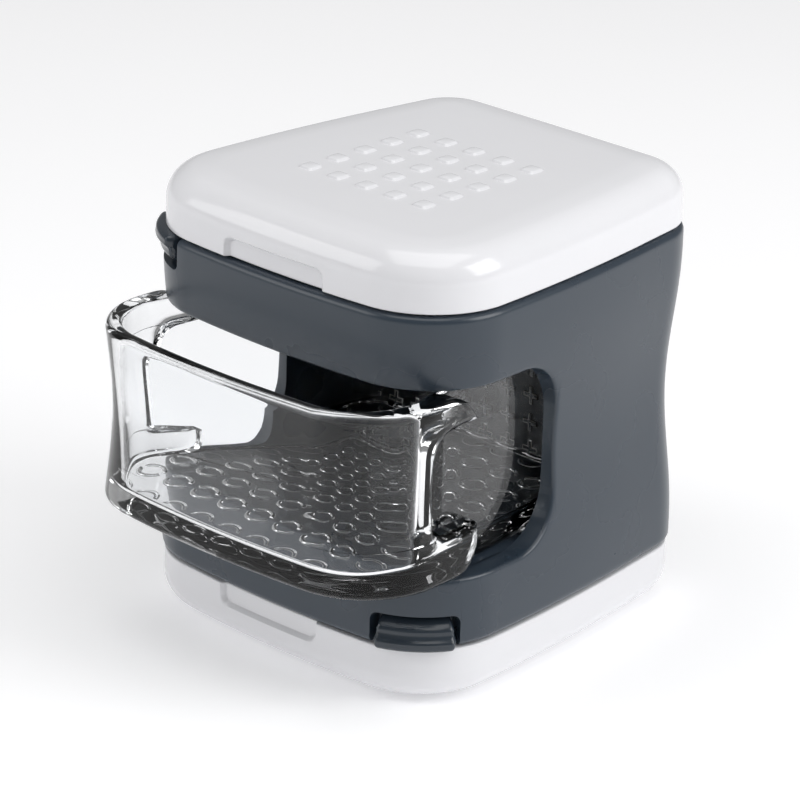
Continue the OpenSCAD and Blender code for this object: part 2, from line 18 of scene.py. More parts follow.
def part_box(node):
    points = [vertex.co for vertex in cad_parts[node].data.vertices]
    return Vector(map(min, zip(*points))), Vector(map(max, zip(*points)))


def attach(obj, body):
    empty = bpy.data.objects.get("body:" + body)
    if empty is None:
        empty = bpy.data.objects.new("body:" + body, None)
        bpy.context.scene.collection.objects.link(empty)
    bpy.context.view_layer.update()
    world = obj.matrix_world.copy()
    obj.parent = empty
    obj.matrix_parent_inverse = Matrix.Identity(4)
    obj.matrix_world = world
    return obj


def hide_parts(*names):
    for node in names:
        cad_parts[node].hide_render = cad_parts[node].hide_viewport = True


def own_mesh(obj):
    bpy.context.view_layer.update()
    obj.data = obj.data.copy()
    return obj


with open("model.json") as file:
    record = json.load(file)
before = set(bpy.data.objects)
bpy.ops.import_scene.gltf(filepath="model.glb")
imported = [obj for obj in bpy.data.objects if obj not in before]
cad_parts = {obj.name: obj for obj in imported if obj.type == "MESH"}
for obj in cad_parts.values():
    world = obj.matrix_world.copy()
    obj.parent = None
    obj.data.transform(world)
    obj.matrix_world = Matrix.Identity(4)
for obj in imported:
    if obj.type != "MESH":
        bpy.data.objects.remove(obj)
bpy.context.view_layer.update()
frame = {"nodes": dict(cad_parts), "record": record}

MM = 0.001
print("nodes:", len(frame["nodes"]))

# %% [markdown]
# ## The outline that everything follows
# Seen from above, the casing, the lids and the drawer share one outline: four bowed walls
# with rounded corners, a little narrower at the back. It could be drawn as a Bezier curve,
# but a chain of exact arcs gives true distances and true outward directions, and those are
# what the shells below are offset along.

# %% Sizes in millimetres
FRONT_HALF, BACK_HALF = 38.6, 30.9
FRONT_REACH, BACK_REACH = 35.2, 41.5
FRONT_BOW, SIDE_BOW, BACK_BOW = 3.2, 2.1, 0.2
FRONT_R, BACK_R = 17.0, 11.0
WALL, RIM_PROUD, WAIST, WAIST_HALF = 4.2, 0.4, 2.0, 27.0
ARC_STEPS = 120


def node_z(node):
    """Lowest and highest z of a CAD node at rest, in millimetres."""
    low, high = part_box(node)
    return low.z / MM, high.z / MM


CASE_LOW, CASE_HIGH = node_z("casing")
BASE_Z, TOP_Z = node_z("bottom_lid")[0], node_z("top_lid")[1]
MID_Z = (BASE_Z + TOP_Z) / 2
DRAWER_LOW, DRAWER_HIGH = node_z("drawer")
print("casing z", CASE_LOW, CASE_HIGH, "drawer z", DRAWER_LOW, DRAWER_HIGH)


# %% Curves made of arcs
def corner_arc(before, corner, after, radius, steps):
    """Points of the arc that rounds a corner, and its centre.

    The centre is on the corner's bisector, at radius / sin(half the angle).
    """
    u = (before - corner) / np.linalg.norm(before - corner)
    w = (after - corner) / np.linalg.norm(after - corner)
    half = math.acos(np.clip(u @ w, -1, 1)) / 2
    longest = min(np.linalg.norm(before - corner), np.linalg.norm(after - corner)) / 2
    run = min(radius / math.tan(half), longest)
    r = run * math.tan(half)
    bisector = (u + w) / np.linalg.norm(u + w)
    centre = corner + bisector * r / math.sin(half)
    start = np.arctan2(*(corner + u * run - centre)[::-1])
    end = np.arctan2(*(corner + w * run - centre)[::-1])
    turn = (end - start + np.pi) % (2 * np.pi) - np.pi
    angle = start + turn * np.linspace(0, 1, steps)
    return centre + r * np.column_stack([np.cos(angle), np.sin(angle)]), centre


def make_outline(front_half, back_half, back_reach, back_r):
    """Closed outline from the middle of the back wall, round by -X.

    Eight arcs are chained, and each point has its distance along and its outward direction.
    """
    side = ((front_half + back_half) / 2 + SIDE_BOW, (back_reach - FRONT_REACH) / 2)
    corners = np.array([
        (0, back_reach + BACK_BOW), (-back_half, back_reach), (-side[0], side[1]),
        (-front_half, -FRONT_REACH), (0, -FRONT_REACH - FRONT_BOW), (front_half, -FRONT_REACH),
        side, (back_half, back_reach)])
    bow = 1000.0
    radii = [bow, back_r, bow, FRONT_R, bow, FRONT_R, bow, back_r]
    chain = [corner_arc(corners[k - 1], corners[k], corners[(k + 1) % 8], radii[k], ARC_STEPS)
             for k in range(8)]
    points = np.concatenate([c[0] for c in chain])
    points = np.roll(points, -ARC_STEPS // 2, axis=0)
    step = np.roll(points, -1, axis=0) - points
    length = np.linalg.norm(step, axis=1)
    keep = length > 1e-6
    points, length = points[keep], length[keep]
    tangent = np.roll(points, -1, axis=0) - np.roll(points, 1, axis=0)
    tangent /= np.linalg.norm(tangent, axis=1, keepdims=True)
    outward = np.column_stack([tangent[:, 1], -tangent[:, 0]])
    along = np.concatenate([[0], np.cumsum(length)])
    return {"s": along[:-1], "total": along[-1], "p": points, "n": outward,
            "corner": chain[5][1]}


def along(outline, s):
    """Points and outward directions of an outline at distances s, worked out between its own points."""
    point = [np.interp(s, outline["s"], outline["p"][:, k], period=outline["total"])
             for k in (0, 1)]
    normal = [np.interp(s, outline["s"], outline["n"][:, k], period=outline["total"])
              for k in (0, 1)]
    point, normal = np.stack(point, -1), np.stack(normal, -1)
    return point, normal / np.linalg.norm(normal, axis=-1, keepdims=True)


def s_at_y(outline, y, right):
    """Distance along an outline at which its left or right wall has the given y."""
    side = outline["p"][:, 0] > 0
    side = side if right else ~side
    order = np.argsort(outline["p"][side, 1])
    return np.interp(y, outline["p"][side, 1][order], outline["s"][side][order])


def s_at_angle(outline, degrees, mirror):
    """Distance along an outline of the point at an angle about its front right corner's centre.

    With mirror, it is the point that mirrors it on the front left corner.
    """
    target = outline["corner"] + FRONT_R * np.array(
        [math.cos(math.radians(degrees)), math.sin(math.radians(degrees))])
    if mirror:
        target = target * (-1, 1)
    return outline["s"][np.argmin(np.linalg.norm(outline["p"] - target, axis=1))]


def waisted(z):
    """Inset of the casing's outer face: half a cosine wave between straight bands at the rims."""
    d = np.minimum(np.abs(z - MID_Z) / WAIST_HALF, 1)
    return WAIST * (0.5 + 0.5 * np.cos(np.pi * d)) - RIM_PROUD


def roll(distance, radius):
    """How far a rounded edge falls back at a distance from the edge: a quarter circle."""
    d = np.clip(distance, 0, radius)
    return radius - np.sqrt(np.maximum(radius ** 2 - (radius - d) ** 2, 0))


OUTLINE = make_outline(FRONT_HALF, BACK_HALF, BACK_REACH, BACK_R)
CORNER = OUTLINE["corner"]
print("outline length", round(OUTLINE["total"], 1), "mm, front right corner centre", CORNER.round(2))


# %% [markdown]
# ## From grids to meshes
# Every shell is a grid of points with rows and columns. Faces join neighbours on the grid,
# and a shell that has a thickness is two grids joined along their open edges. The helpers
# below work on whole arrays, so that a shape stays a formula.

# %% Grid helpers
def grid_faces(rows, cols, closed):
    """Four-sided faces of a grid whose columns run anticlockwise seen from above and whose rows run up."""
    index = np.arange(rows * cols).reshape(rows, cols)
    if closed:
        index = np.column_stack([index, index[:, 0]])
    return np.stack([index[:-1, :-1], index[:-1, 1:], index[1:, 1:], index[1:, :-1]], -1)


def open_edges(faces):
    """Directed edges that only one face uses: the rim of an open surface."""
    edges = np.concatenate([np.stack([faces[:, k], faces[:, (k + 1) % 4]], -1) for k in range(4)])
    top = edges.max() + 1
    one_way = edges[:, 0] * top + edges[:, 1]
    other_way = edges[:, 1] * top + edges[:, 0]
    return edges[~np.isin(one_way, other_way)]


def thick(outer, inner, faces):
    """A closed shell: the outer faces, the inner ones turned round, and a wall along every open edge."""
    n = len(outer)
    rim = open_edges(faces)
    wall = np.stack([rim[:, 1], rim[:, 0], rim[:, 0] + n, rim[:, 1] + n], -1)
    return np.concatenate([outer, inner]), np.concatenate([faces, faces[:, ::-1] + n, wall])


def poled(points, closed=True):
    """A closed skin from rows of points, with each end row drawn together in one point."""
    rows, cols = points.shape[:2]
    quads = grid_faces(rows, cols, closed).reshape(-1, 4)
    verts = np.concatenate([points.reshape(-1, 3), points[0].mean(0)[None],
                            points[-1].mean(0)[None]])
    ring = np.arange(cols)
    ahead = np.roll(ring, -1)
    last = (rows - 1) * cols
    low = np.column_stack([ahead, ring, np.full(cols, rows * cols)])
    high = np.column_stack([last + ring, last + ahead, np.full(cols, rows * cols + 1)])
    return verts, quads.tolist() + low.tolist() + high.tolist()


def make_piece(name, parts, material, body, smooth=40.0):
    """One object from a list of (points in mm, faces), riding on a body.

    It is shaded smooth, but for edges sharper than smooth degrees.
    """
    verts, faces, base = [], [], 0
    for points, polys in parts:
        verts.append(np.asarray(points) * MM)
        polys = polys.tolist() if isinstance(polys, np.ndarray) else polys
        faces += [[v + base for v in poly] for poly in polys]
        base += len(points)
    mesh = bpy.data.meshes.new(name)
    mesh.from_pydata(np.concatenate(verts).tolist(), [], faces)
    mesh.validate()
    mesh.shade_smooth()
    mesh.set_sharp_from_angle(angle=math.radians(smooth))
    piece = bpy.data.objects.new(name, mesh)
    bpy.context.scene.collection.objects.link(piece)
    mesh.materials.append(material)
    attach(piece, body)
    print(name, len(mesh.vertices), "points,", len(mesh.polygons), "faces")
    return piece


def block(low, high, bevel=0.3):
    """A box with bevelled edges: four rings of eight points, of which the end ones are drawn in."""
    low, high = np.array(low, float), np.array(high, float)
    b = min(bevel, (high - low).min() / 2.2)
    rows = []
    for z, inset in ((low[2], b), (low[2] + b, 0), (high[2] - b, 0), (high[2], b)):
        x0, x1 = low[0] + inset, high[0] - inset
        y0, y1 = low[1] + inset, high[1] - inset
        rows.append([(x0 + b, y0, z), (x1 - b, y0, z), (x1, y0 + b, z), (x1, y1 - b, z),
                     (x1 - b, y1, z), (x0 + b, y1, z), (x0, y1 - b, z), (x0, y0 + b, z)])
    return poled(np.array(rows))


def tube(r_in, r_out, low, high, steps=40):
    """A ring about Z: a closed profile with small chamfers carried round the axis."""
    chamfer = 0.25
    profile = np.array([(r_out, low + chamfer), (r_out, high - chamfer), (r_out - chamfer, high),
                        (r_in + chamfer, high), (r_in, high - chamfer), (r_in, low + chamfer),
                        (r_in + chamfer, low), (r_out - chamfer, low)])
    turn = np.linspace(0, 2 * np.pi, steps, endpoint=False)
    points = np.stack([profile[:, None, 0] * np.cos(turn), profile[:, None, 0] * np.sin(turn),
                       np.repeat(profile[:, 1:], steps, 1)], -1)
    faces = grid_faces(9, steps, True)
    faces[-1][:, 2:] %= 8 * steps
    return points.reshape(-1, 3), faces.reshape(-1, 4)


def placed(part, matrix):
    """A part moved by a matrix whose translation is in millimetres."""
    points, faces = part
    m = np.array(matrix)
    return np.asarray(points) @ m[:3, :3].T + m[:3, 3], faces


def flipped(part):
    """A part of the top end turned half a turn about Y at mid height, which is a part of the bottom end."""
    points, faces = part
    return np.asarray(points) * (-1, 1, -1) + (0, 0, BASE_Z + TOP_Z), faces


# %% [markdown]
# ## Materials
# Five finishes of ABS, a clear polystyrene and two steels. Moulded ABS is never one flat colour:
# its gloss wanders where the tool was polished by hand, and fine handling marks show in the
# highlights. Each material below gets its colour from a hex value, its IOR from tables, and
# a roughness and bump whose grain is set from a real size.

# %% Colour and node helpers
# Noise counts its clouds per metre: 60 makes them about 17 mm across, 90 about 11 mm.
CLOUDS, FLOW_LINES, MOTTLE = 60.0, 90.0, 9.0
ABS_IOR, POLYSTYRENE_IOR = 1.54, 1.57
ROUGHNESS_SPREAD = 0.15
FINE_RELIEF = 0.02 * MM


def linear(hex_colour):
    """A hex sRGB colour as the linear colour that shaders use."""
    value = np.array([int(hex_colour[k:k + 2], 16) for k in (1, 3, 5)]) / 255
    value = np.where(value <= 0.04045, value / 12.92, ((value + 0.055) / 1.055) ** 2.4)
    return (*value.tolist(), 1.0)


def add_node(tree, kind, settings=None, *slots, **inputs):
    """A shader node with its settings.

    slots fill its sockets in order and inputs fill them by name, as values or as links.
    """
    node = tree.nodes.new(kind)
    for key, value in (settings or {}).items():
        setattr(node, key, value)
    sockets = list(zip(node.inputs, slots))
    sockets += [(node.inputs[key.replace("_", " ")], value) for key, value in inputs.items()]
    for socket, value in sockets:
        if isinstance(value, bpy.types.NodeSocket):
            tree.links.new(value, socket)
        else:
            socket.default_value = value
    return node


def new_material(name):
    """An empty node material and its shader."""
    material = bpy.data.materials.new(name)
    material.use_nodes = True
    tree = material.node_tree
    return material, tree, tree.nodes["Principled BSDF"]


def moulded(name, colour, second, roughness, grain_mm=0.35, bump=0.02):
    """Injection-moulded plastic of two close tones.

    Its roughness wanders over centimetres, and a fine grain from the tool roughens its face.
    """
    material, tree, shader = new_material(name)
    place = add_node(tree, "ShaderNodeTexCoord").outputs["Object"]
    clouds = add_node(tree, "ShaderNodeTexNoise", None, Vector=place, Scale=CLOUDS, Detail=3.0)
    tone = add_node(tree, "ShaderNodeMix", {"data_type": "RGBA"}, Factor=clouds.outputs["Fac"])
    tone.inputs[6].default_value = linear(colour)
    tone.inputs[7].default_value = linear(second)
    tree.links.new(tone.outputs[2], shader.inputs["Base Color"])
    wear = add_node(tree, "ShaderNodeMapRange", None, Value=clouds.outputs["Fac"], From_Min=0.1,
                    From_Max=0.9, To_Min=roughness * (1 - ROUGHNESS_SPREAD),
                    To_Max=roughness * (1 + ROUGHNESS_SPREAD))
    tree.links.new(wear.outputs["Result"], shader.inputs["Roughness"])
    grain = add_node(tree, "ShaderNodeTexNoise", None, Vector=place, Scale=1 / (grain_mm * MM), Detail=2.0)
    relief = add_node(tree, "ShaderNodeBump", None, Height=grain.outputs["Fac"], Strength=bump,
                      Distance=FINE_RELIEF)
    tree.links.new(relief.outputs["Normal"], shader.inputs["Normal"])
    shader.inputs["IOR"].default_value = ABS_IOR
    return material


# %% The plastics
# Slate-grey ABS from a satin-polished tool: soft, wide highlights.
casing_abs = moulded("abs_slate_satin", "#2d3742", "#303b46", 0.28, bump=0.05)
# The push buttons are the same ABS from a better polished tool: darker, sharper highlights.
button_abs = moulded("abs_slate_polished", "#28313a", "#2c353e", 0.20)
# White ABS from a mirror-polished tool: nearly clean reflections.
lid_abs = moulded("abs_white_polished", "#e9e9ec", "#ececef", 0.13, grain_mm=0.6)
# Charcoal ABS of the inserts inside, left satin.
insert_abs = moulded("abs_charcoal_satin", "#24282c", "#2a2e32", 0.45, bump=0.1)
# Light grey ABS of the liners inside the lids.
liner_abs = moulded("abs_light_grey_satin", "#c2c7cb", "#cacfd2", 0.4, bump=0.1)


RING_R, RING_WIRE, RING_START, RING_PITCH = 2.3, 0.5, (0.6, -39.8), (6.95, 7.9)
CROSS_HALF, CROSS_WIRE, CROSS_START, CROSS_PITCH = 1.75, 0.5, (1.4, 30.0), (5.5, 5.35)


def repeated(tree, value, start_mm, pitch_mm):
    """A coordinate's offset from the nearest point of a row, and the size of that offset.

    The row starts at start_mm and repeats every pitch_mm.
    """
    moved = add_node(tree, "ShaderNodeMath", {"operation": "SUBTRACT"}, value, start_mm * MM)
    half = pitch_mm * MM / 2
    wrapped = add_node(tree, "ShaderNodeMath", {"operation": "WRAP"}, moved.outputs[0], half, -half)
    size = add_node(tree, "ShaderNodeMath", {"operation": "ABSOLUTE"}, wrapped.outputs[0])
    return wrapped.outputs[0], size.outputs[0]


def ring_relief(tree, place):
    """Height of broken rings on the floor.

    It is 1 along a circle's wire, and 0 off it and in the two gaps on the X axis.
    """
    axes = add_node(tree, "ShaderNodeSeparateXYZ", None, place)
    u, _ = repeated(tree, axes.outputs[0], RING_START[0], RING_PITCH[0])
    v, away = repeated(tree, axes.outputs[1], RING_START[1], RING_PITCH[1])
    flat = add_node(tree, "ShaderNodeCombineXYZ", None, u, v, 0.0)
    radius = add_node(tree, "ShaderNodeVectorMath", {"operation": "LENGTH"}, flat.outputs[0])
    off = add_node(tree, "ShaderNodeMath", {"operation": "SUBTRACT"}, radius.outputs["Value"], RING_R * MM)
    off = add_node(tree, "ShaderNodeMath", {"operation": "ABSOLUTE"}, off.outputs[0])
    wire = add_node(tree, "ShaderNodeMapRange", {"interpolation_type": "SMOOTHSTEP"}, Value=off.outputs[0],
                    From_Min=0.2 * RING_WIRE * MM, From_Max=RING_WIRE * MM, To_Min=1.0, To_Max=0.0)
    gap = add_node(tree, "ShaderNodeMapRange", {"interpolation_type": "SMOOTHSTEP"}, Value=away,
                   From_Min=0.5 * MM, From_Max=0.9 * MM)
    return add_node(tree, "ShaderNodeMath", {"operation": "MULTIPLY"}, wire.outputs[0],
                    gap.outputs[0]).outputs[0]


def cross_relief(tree, place):
    """Height of crosses on the rear wall: 1 inside either of two bars, 0 just outside their edges."""
    axes = add_node(tree, "ShaderNodeSeparateXYZ", None, place)
    _, u = repeated(tree, axes.outputs[0], CROSS_START[0], CROSS_PITCH[0])
    _, v = repeated(tree, axes.outputs[2], CROSS_START[1], CROSS_PITCH[1])
    bars = []
    for across, along_bar in ((u, v), (v, u)):
        side = add_node(tree, "ShaderNodeMath", {"operation": "SUBTRACT"}, across, CROSS_WIRE * MM)
        end = add_node(tree, "ShaderNodeMath", {"operation": "SUBTRACT"}, along_bar, CROSS_HALF * MM)
        bars.append(add_node(tree, "ShaderNodeMath", {"operation": "MAXIMUM"}, side.outputs[0],
                             end.outputs[0]).outputs[0])
    edge = add_node(tree, "ShaderNodeMath", {"operation": "MINIMUM"}, *bars)
    return add_node(tree, "ShaderNodeMapRange", {"interpolation_type": "SMOOTHSTEP"},
                    Value=edge.outputs[0], From_Min=-0.35 * MM, From_Max=0.1 * MM, To_Min=1.0,
                    To_Max=0.0).outputs[0]


def clear_plastic(name, relief=None):
    """Crystal polystyrene: glass-like transmission and a faint flow waviness from moulding.

    An embossed relief bends the light, and on its slopes part of the plastic is turned white diffuse, a
    painted highlight along its rims.
    """
    material, tree, shader = new_material(name)
    place = add_node(tree, "ShaderNodeTexCoord").outputs["Object"]
    flow = add_node(tree, "ShaderNodeTexNoise", None, Vector=place, Scale=FLOW_LINES, Detail=1.0)
    wavy = add_node(tree, "ShaderNodeBump", None, Height=flow.outputs["Fac"], Strength=0.25,
                    Distance=0.1 * MM)
    normal = wavy.outputs["Normal"]
    if relief:
        height = relief(tree, place)
        raised = add_node(tree, "ShaderNodeBump", None, Height=height, Strength=1.0,
                          Distance=0.6 * MM, Normal=normal)
        normal = raised.outputs["Normal"]
        middle = add_node(tree, "ShaderNodeMath", {"operation": "SUBTRACT"}, height, 0.5)
        off = add_node(tree, "ShaderNodeMath", {"operation": "ABSOLUTE"}, middle.outputs[0])
        # Painted highlight: the relief's slopes lose some transmission and show the white base colour as
        # bright rims.
        painted_rim_highlight = add_node(tree, "ShaderNodeMapRange", None, Value=off.outputs[0], From_Min=0.25,
                          From_Max=0.5, To_Min=0.55, To_Max=1.0)
        tree.links.new(painted_rim_highlight.outputs["Result"], shader.inputs["Transmission Weight"])
    tree.links.new(normal, shader.inputs["Normal"])
    haze = add_node(tree, "ShaderNodeMapRange", None, Value=flow.outputs["Fac"], To_Min=0.0, To_Max=0.006)
    tree.links.new(haze.outputs["Result"], shader.inputs["Roughness"])
    shader.inputs["Base Color"].default_value = linear("#fbfcfd")
    if not relief:
        shader.inputs["Transmission Weight"].default_value = 1.0
    shader.inputs["IOR"].default_value = POLYSTYRENE_IOR
    # Real polystyrene reflects in full. In this pale studio that would veil the plastic in white.
    shader.inputs["Specular Tint"].default_value = (0.4, 0.4, 0.4, 1)
    return material


def steel(name, colour, roughness, scratch_mm):
    """Steel that was ground or rolled: fine level streaks.

    They are drawn coarser than real, so that they show.
    """
    material, tree, shader = new_material(name)
    place = add_node(tree, "ShaderNodeTexCoord").outputs["Object"]
    stretch = add_node(tree, "ShaderNodeMapping", None, Vector=place, Scale=(1.0, 1.0, 12.0))
    streaks = add_node(tree, "ShaderNodeTexNoise", None, Vector=stretch.outputs["Vector"],
                       Scale=1 / (scratch_mm * MM), Detail=4.0)
    rough = add_node(tree, "ShaderNodeMapRange", None, Value=streaks.outputs["Fac"],
                     To_Min=roughness * 0.6, To_Max=roughness * 1.5)
    tree.links.new(rough.outputs["Result"], shader.inputs["Roughness"])
    relief = add_node(tree, "ShaderNodeBump", None, Height=streaks.outputs["Fac"], Strength=0.08,
                      Distance=FINE_RELIEF)
    tree.links.new(relief.outputs["Normal"], shader.inputs["Normal"])
    shader.inputs["Base Color"].default_value = linear(colour)
    shader.inputs["Metallic"].default_value = 1.0
    return material


crystal = clear_plastic("polystyrene_crystal")
# The ringed and crossed plastics carry a painted highlight, white diffuse, on the slopes of their relief.
crystal_rings = clear_plastic("polystyrene_crystal_ringed", ring_relief)
crystal_crosses = clear_plastic("polystyrene_crystal_crossed", cross_relief)
blade_steel = steel("stainless_ground", "#c8cacc", 0.22, 2.0)
screw_steel = steel("zinc_plated", "#b4b7ba", 0.3, 3.0)
print("materials:", [m.name for m in bpy.data.materials])

# %% [markdown]
# ## The casing
# One moulded sleeve. On the real one, a window runs across the whole front and round both
# sides, the rims are rounded, and the faces draw in to a waist. It could be a cut-out made
# with booleans, but a boolean leaves slivers that spoil the highlights. Here the grid itself
# follows the window: its rows bend to the window's edge, and the faces inside are left out.

# %% Window, rims and pockets
# BAND is the height of the solid band between a rim and the window.
WINDOW_LOW, WINDOW_HIGH = DRAWER_LOW - 0.5, DRAWER_HIGH + 0.5
WINDOW_BACK, WINDOW_LOW_R, WINDOW_HIGH_R = -1.1, 11.0, 10.99
EDGE_R, RIM_R = 0.7, 1.3
BAND = 12.9
NOTCH_HALF, NOTCH_DEPTH = 12.3, 7.4
POCKET_ANGLES, POCKET_DEPTH, POCKET_R = (-76.8, -22.7), 6.1, 1.5


def window_edge(y, high):
    """Height of the window's upper or lower edge at y: straight, then a quarter circle at the back."""
    r = WINDOW_HIGH_R if high else WINDOW_LOW_R
    past = np.clip(y - (WINDOW_BACK - r), 0, r)
    rise = r - np.sqrt(r ** 2 - past ** 2)
    return WINDOW_HIGH - rise if high else WINDOW_LOW + rise


def window_distance(y, z):
    """Distance outside the window's rounded outline in the side view, negative inside."""
    r = np.where(z > MID_Z, WINDOW_HIGH_R, WINDOW_LOW_R)
    half = (WINDOW_HIGH - WINDOW_LOW) / 2
    dy = y - (WINDOW_BACK - r)
    dz = np.abs(z - (WINDOW_HIGH + WINDOW_LOW) / 2) - (half - r)
    both = np.hypot(np.maximum(dy, 0), np.maximum(dz, 0))
    return both + np.minimum(np.maximum(dy, dz), 0) - r


def step_down(s, start, end, depth, radius):
    """Depth of a notch in a rim between two distances along it, with rounded inner corners."""
    d = np.minimum(s - start, end - s)
    inner = depth - radius + np.sqrt(np.maximum(radius ** 2 - (radius - np.clip(d, 0, radius)) ** 2, 0))
    return np.where(d >= 0, inner, 0.0)


def spread(total, step, special):
    """Columns about step apart, with special ones put in and crowded ordinary ones left out."""
    plain = np.arange(0, total, step)
    near = np.abs(plain[:, None] - special[None]).min(1)
    near = np.minimum(near, np.abs(plain[:, None] + total - special[None]).min(1))
    return np.unique(np.concatenate([plain[near > step * 0.3], special]).round(4))


def notch_columns(start, end, radius):
    """Columns for a notch: one just outside each end and a few round each inner corner."""
    bend = radius * (1 - np.cos(np.linspace(0, np.pi / 2, 6)))
    return np.concatenate([[start - 0.02], start + bend, end - bend, [end + 0.02]])


# %% Build the casing's shell
def casing_shell():
    """Outer face at the waist's inset with rolled edges, and an upright inner face.

    The two are joined along the rims, the window and the notches.
    """
    o = OUTLINE
    quarter = np.sin(np.linspace(0, np.pi / 2, 13))
    near_edge = np.array([0.0, 0.12, 0.3, 0.55, 0.9, 1.6])
    special = []
    for right in (False, True):
        ys = np.concatenate([WINDOW_BACK - r + r * quarter for r in (WINDOW_LOW_R, WINDOW_HIGH_R)])
        ys = np.concatenate([ys, WINDOW_BACK + near_edge])
        special.append(s_at_y(o, ys, right))
    low_pocket = sorted(s_at_angle(o, a, False) for a in POCKET_ANGLES)
    high_pocket = sorted(s_at_angle(o, a, True) for a in POCKET_ANGLES)
    special += [notch_columns(*low_pocket, POCKET_R), notch_columns(*high_pocket, POCKET_R)]
    special.append(np.array([NOTCH_HALF - 0.02, NOTCH_HALF]))
    special.append(o["total"] - np.array([NOTCH_HALF - 0.02, NOTCH_HALF]))
    s = spread(o["total"], 1.1, np.concatenate(special))
    p, n = along(o, s)
    y = p[:, 1]
    at_back = np.minimum(s, o["total"] - s) < NOTCH_HALF - 0.01
    z_low = CASE_LOW + step_down(s, *low_pocket, POCKET_DEPTH, POCKET_R)
    z_high = CASE_HIGH - step_down(s, *high_pocket, POCKET_DEPTH, POCKET_R)
    z_low = np.where(at_back, CASE_LOW + NOTCH_DEPTH, z_low)
    z_high = np.where(at_back, CASE_HIGH - NOTCH_DEPTH, z_high)
    sill, head = window_edge(y, False), window_edge(y, True)
    rim = np.array([0.0, 0.1, 0.28, 0.55, 0.9, 1.3, 2.2]) / BAND
    fine = 1 - np.array([0.9, 0.55, 0.3, 0.12, 0.0]) / BAND
    t = np.concatenate([rim, np.linspace(rim[-1], fine[0], 9)[1:-1], fine])[:, None]
    low_rows = z_low + (sill - z_low) * t
    mid_rows = sill + (head - sill) * np.linspace(0, 1, 9)[1:-1, None]
    high_rows = z_high + (head - z_high) * t[::-1]
    z = np.concatenate([low_rows, mid_rows, high_rows])
    yy = np.broadcast_to(y, z.shape)
    inset = waisted(z) + roll(z - CASE_LOW, RIM_R) + roll(CASE_HIGH - z, RIM_R)
    inset = inset + roll(window_distance(yy, z), EDGE_R)
    outer = np.dstack([p[:, 0] - n[:, 0] * inset, p[:, 1] - n[:, 1] * inset, z])
    inner = np.dstack([p[:, 0] - n[:, 0] * WALL + 0 * z, p[:, 1] - n[:, 1] * WALL + 0 * z, z])
    faces = grid_faces(*z.shape, True)
    open_column = (y < WINDOW_BACK - 1e-3) & (np.roll(y, -1) < WINDOW_BACK + 0.02)
    open_column |= (y < WINDOW_BACK + 0.02) & (np.roll(y, -1) < WINDOW_BACK - 1e-3)
    keep = np.ones(faces.shape[:2], bool)
    keep[len(low_rows) - 1:len(low_rows) + len(mid_rows), open_column] = False
    return thick(outer.reshape(-1, 3), inner.reshape(-1, 3), faces[keep])


shell = casing_shell()


# %% [markdown]
# Inside the sleeve sit two decks, above and below the drawer's bay. The upper one has the
# square chute that the cut pieces fall through. Small posts carry the inserts, and a boss
# behind each button holds its spring.

# %% Decks, posts, bosses and hinge knuckles
CHUTE_HALF, DECK_T = 17.5, 2.8
POST_X, POST_Y, POST_H = 24.0, 21.0, 4.0
POST_R, SCREW_R, PIN_R = 2.6, 1.05, 1.03
POCKET_IN, POCKET_OUT, POCKET_LIP = 12.9, 14.0, 0.4
HINGE_Y, HINGE_DROP, KNUCKLE_R, LUG_LEN = BACK_REACH, 4.5, 2.6, 8.0
HINGE_Z = CASE_HIGH + 0.2 - HINGE_DROP
LATCH_TURN, SPRING_Z = -49.5, 14.9


def deck(low, high, hole):
    """A plate from the casing's inner face to a square hole, or to the middle where hole is 0."""
    s = np.linspace(0, OUTLINE["total"], 161)[:-1]
    p, n = along(OUTLINE, s)
    rim = p - n * (WALL - 0.3)
    angle = np.arctan2(rim[:, 1], rim[:, 0])
    square = np.stack([np.cos(angle), np.sin(angle)], -1)
    square = square / np.abs(square).max(1, keepdims=True) * max(hole, 0.5)
    mix = np.linspace(0, 1, 6)[:, None, None]
    flat = rim * (1 - mix) + square * mix
    top = np.dstack([flat, np.full(flat.shape[:2], high)]).reshape(-1, 3)
    under = top - (0, 0, high - low)
    return thick(top, under, grid_faces(6, len(s), True).reshape(-1, 4))


def corner_matrix(z):
    """Place at the front right corner: X runs outwards through the button."""
    turn = Matrix.Rotation(math.radians(LATCH_TURN), 4, "Z")
    return Matrix.Translation((CORNER[0], CORNER[1], z)) @ turn


along_x = Matrix.Rotation(math.pi / 2, 4, "Y")
top_core = [placed(tube(SCREW_R, POST_R, -0.3, POST_H), Matrix.Translation((x, y, WINDOW_HIGH + DECK_T)))
            for x in (-POST_X, POST_X) for y in (-POST_Y, POST_Y)]
top_core += [placed(tube(PIN_R, KNUCKLE_R, -LUG_LEN / 2, LUG_LEN / 2),
                    Matrix.Translation((x, HINGE_Y, HINGE_Z)) @ along_x)
             for x in (-NOTCH_HALF - LUG_LEN / 2, NOTCH_HALF + LUG_LEN / 2)]
boss = placed(tube(2.2, 3.0, 9.8, 13.6), corner_matrix(SPRING_Z) @ along_x)


def arc_wall(r_in, r_out, low, high, half_angle):
    """A piece of a ring wall about the front right corner, closed at its ends."""
    turn = np.radians(LATCH_TURN + np.linspace(-half_angle, half_angle, 25))
    around = np.stack([np.cos(turn), np.sin(turn)], -1)
    outer = np.array([np.column_stack([CORNER + around * r_out, np.full(25, z)]) for z in (low, high)])
    inner = np.array([np.column_stack([CORNER + around * r_in, np.full(25, z)]) for z in (low, high)])
    return thick(outer.reshape(-1, 3), inner.reshape(-1, 3), grid_faces(2, 25, False).reshape(-1, 4))


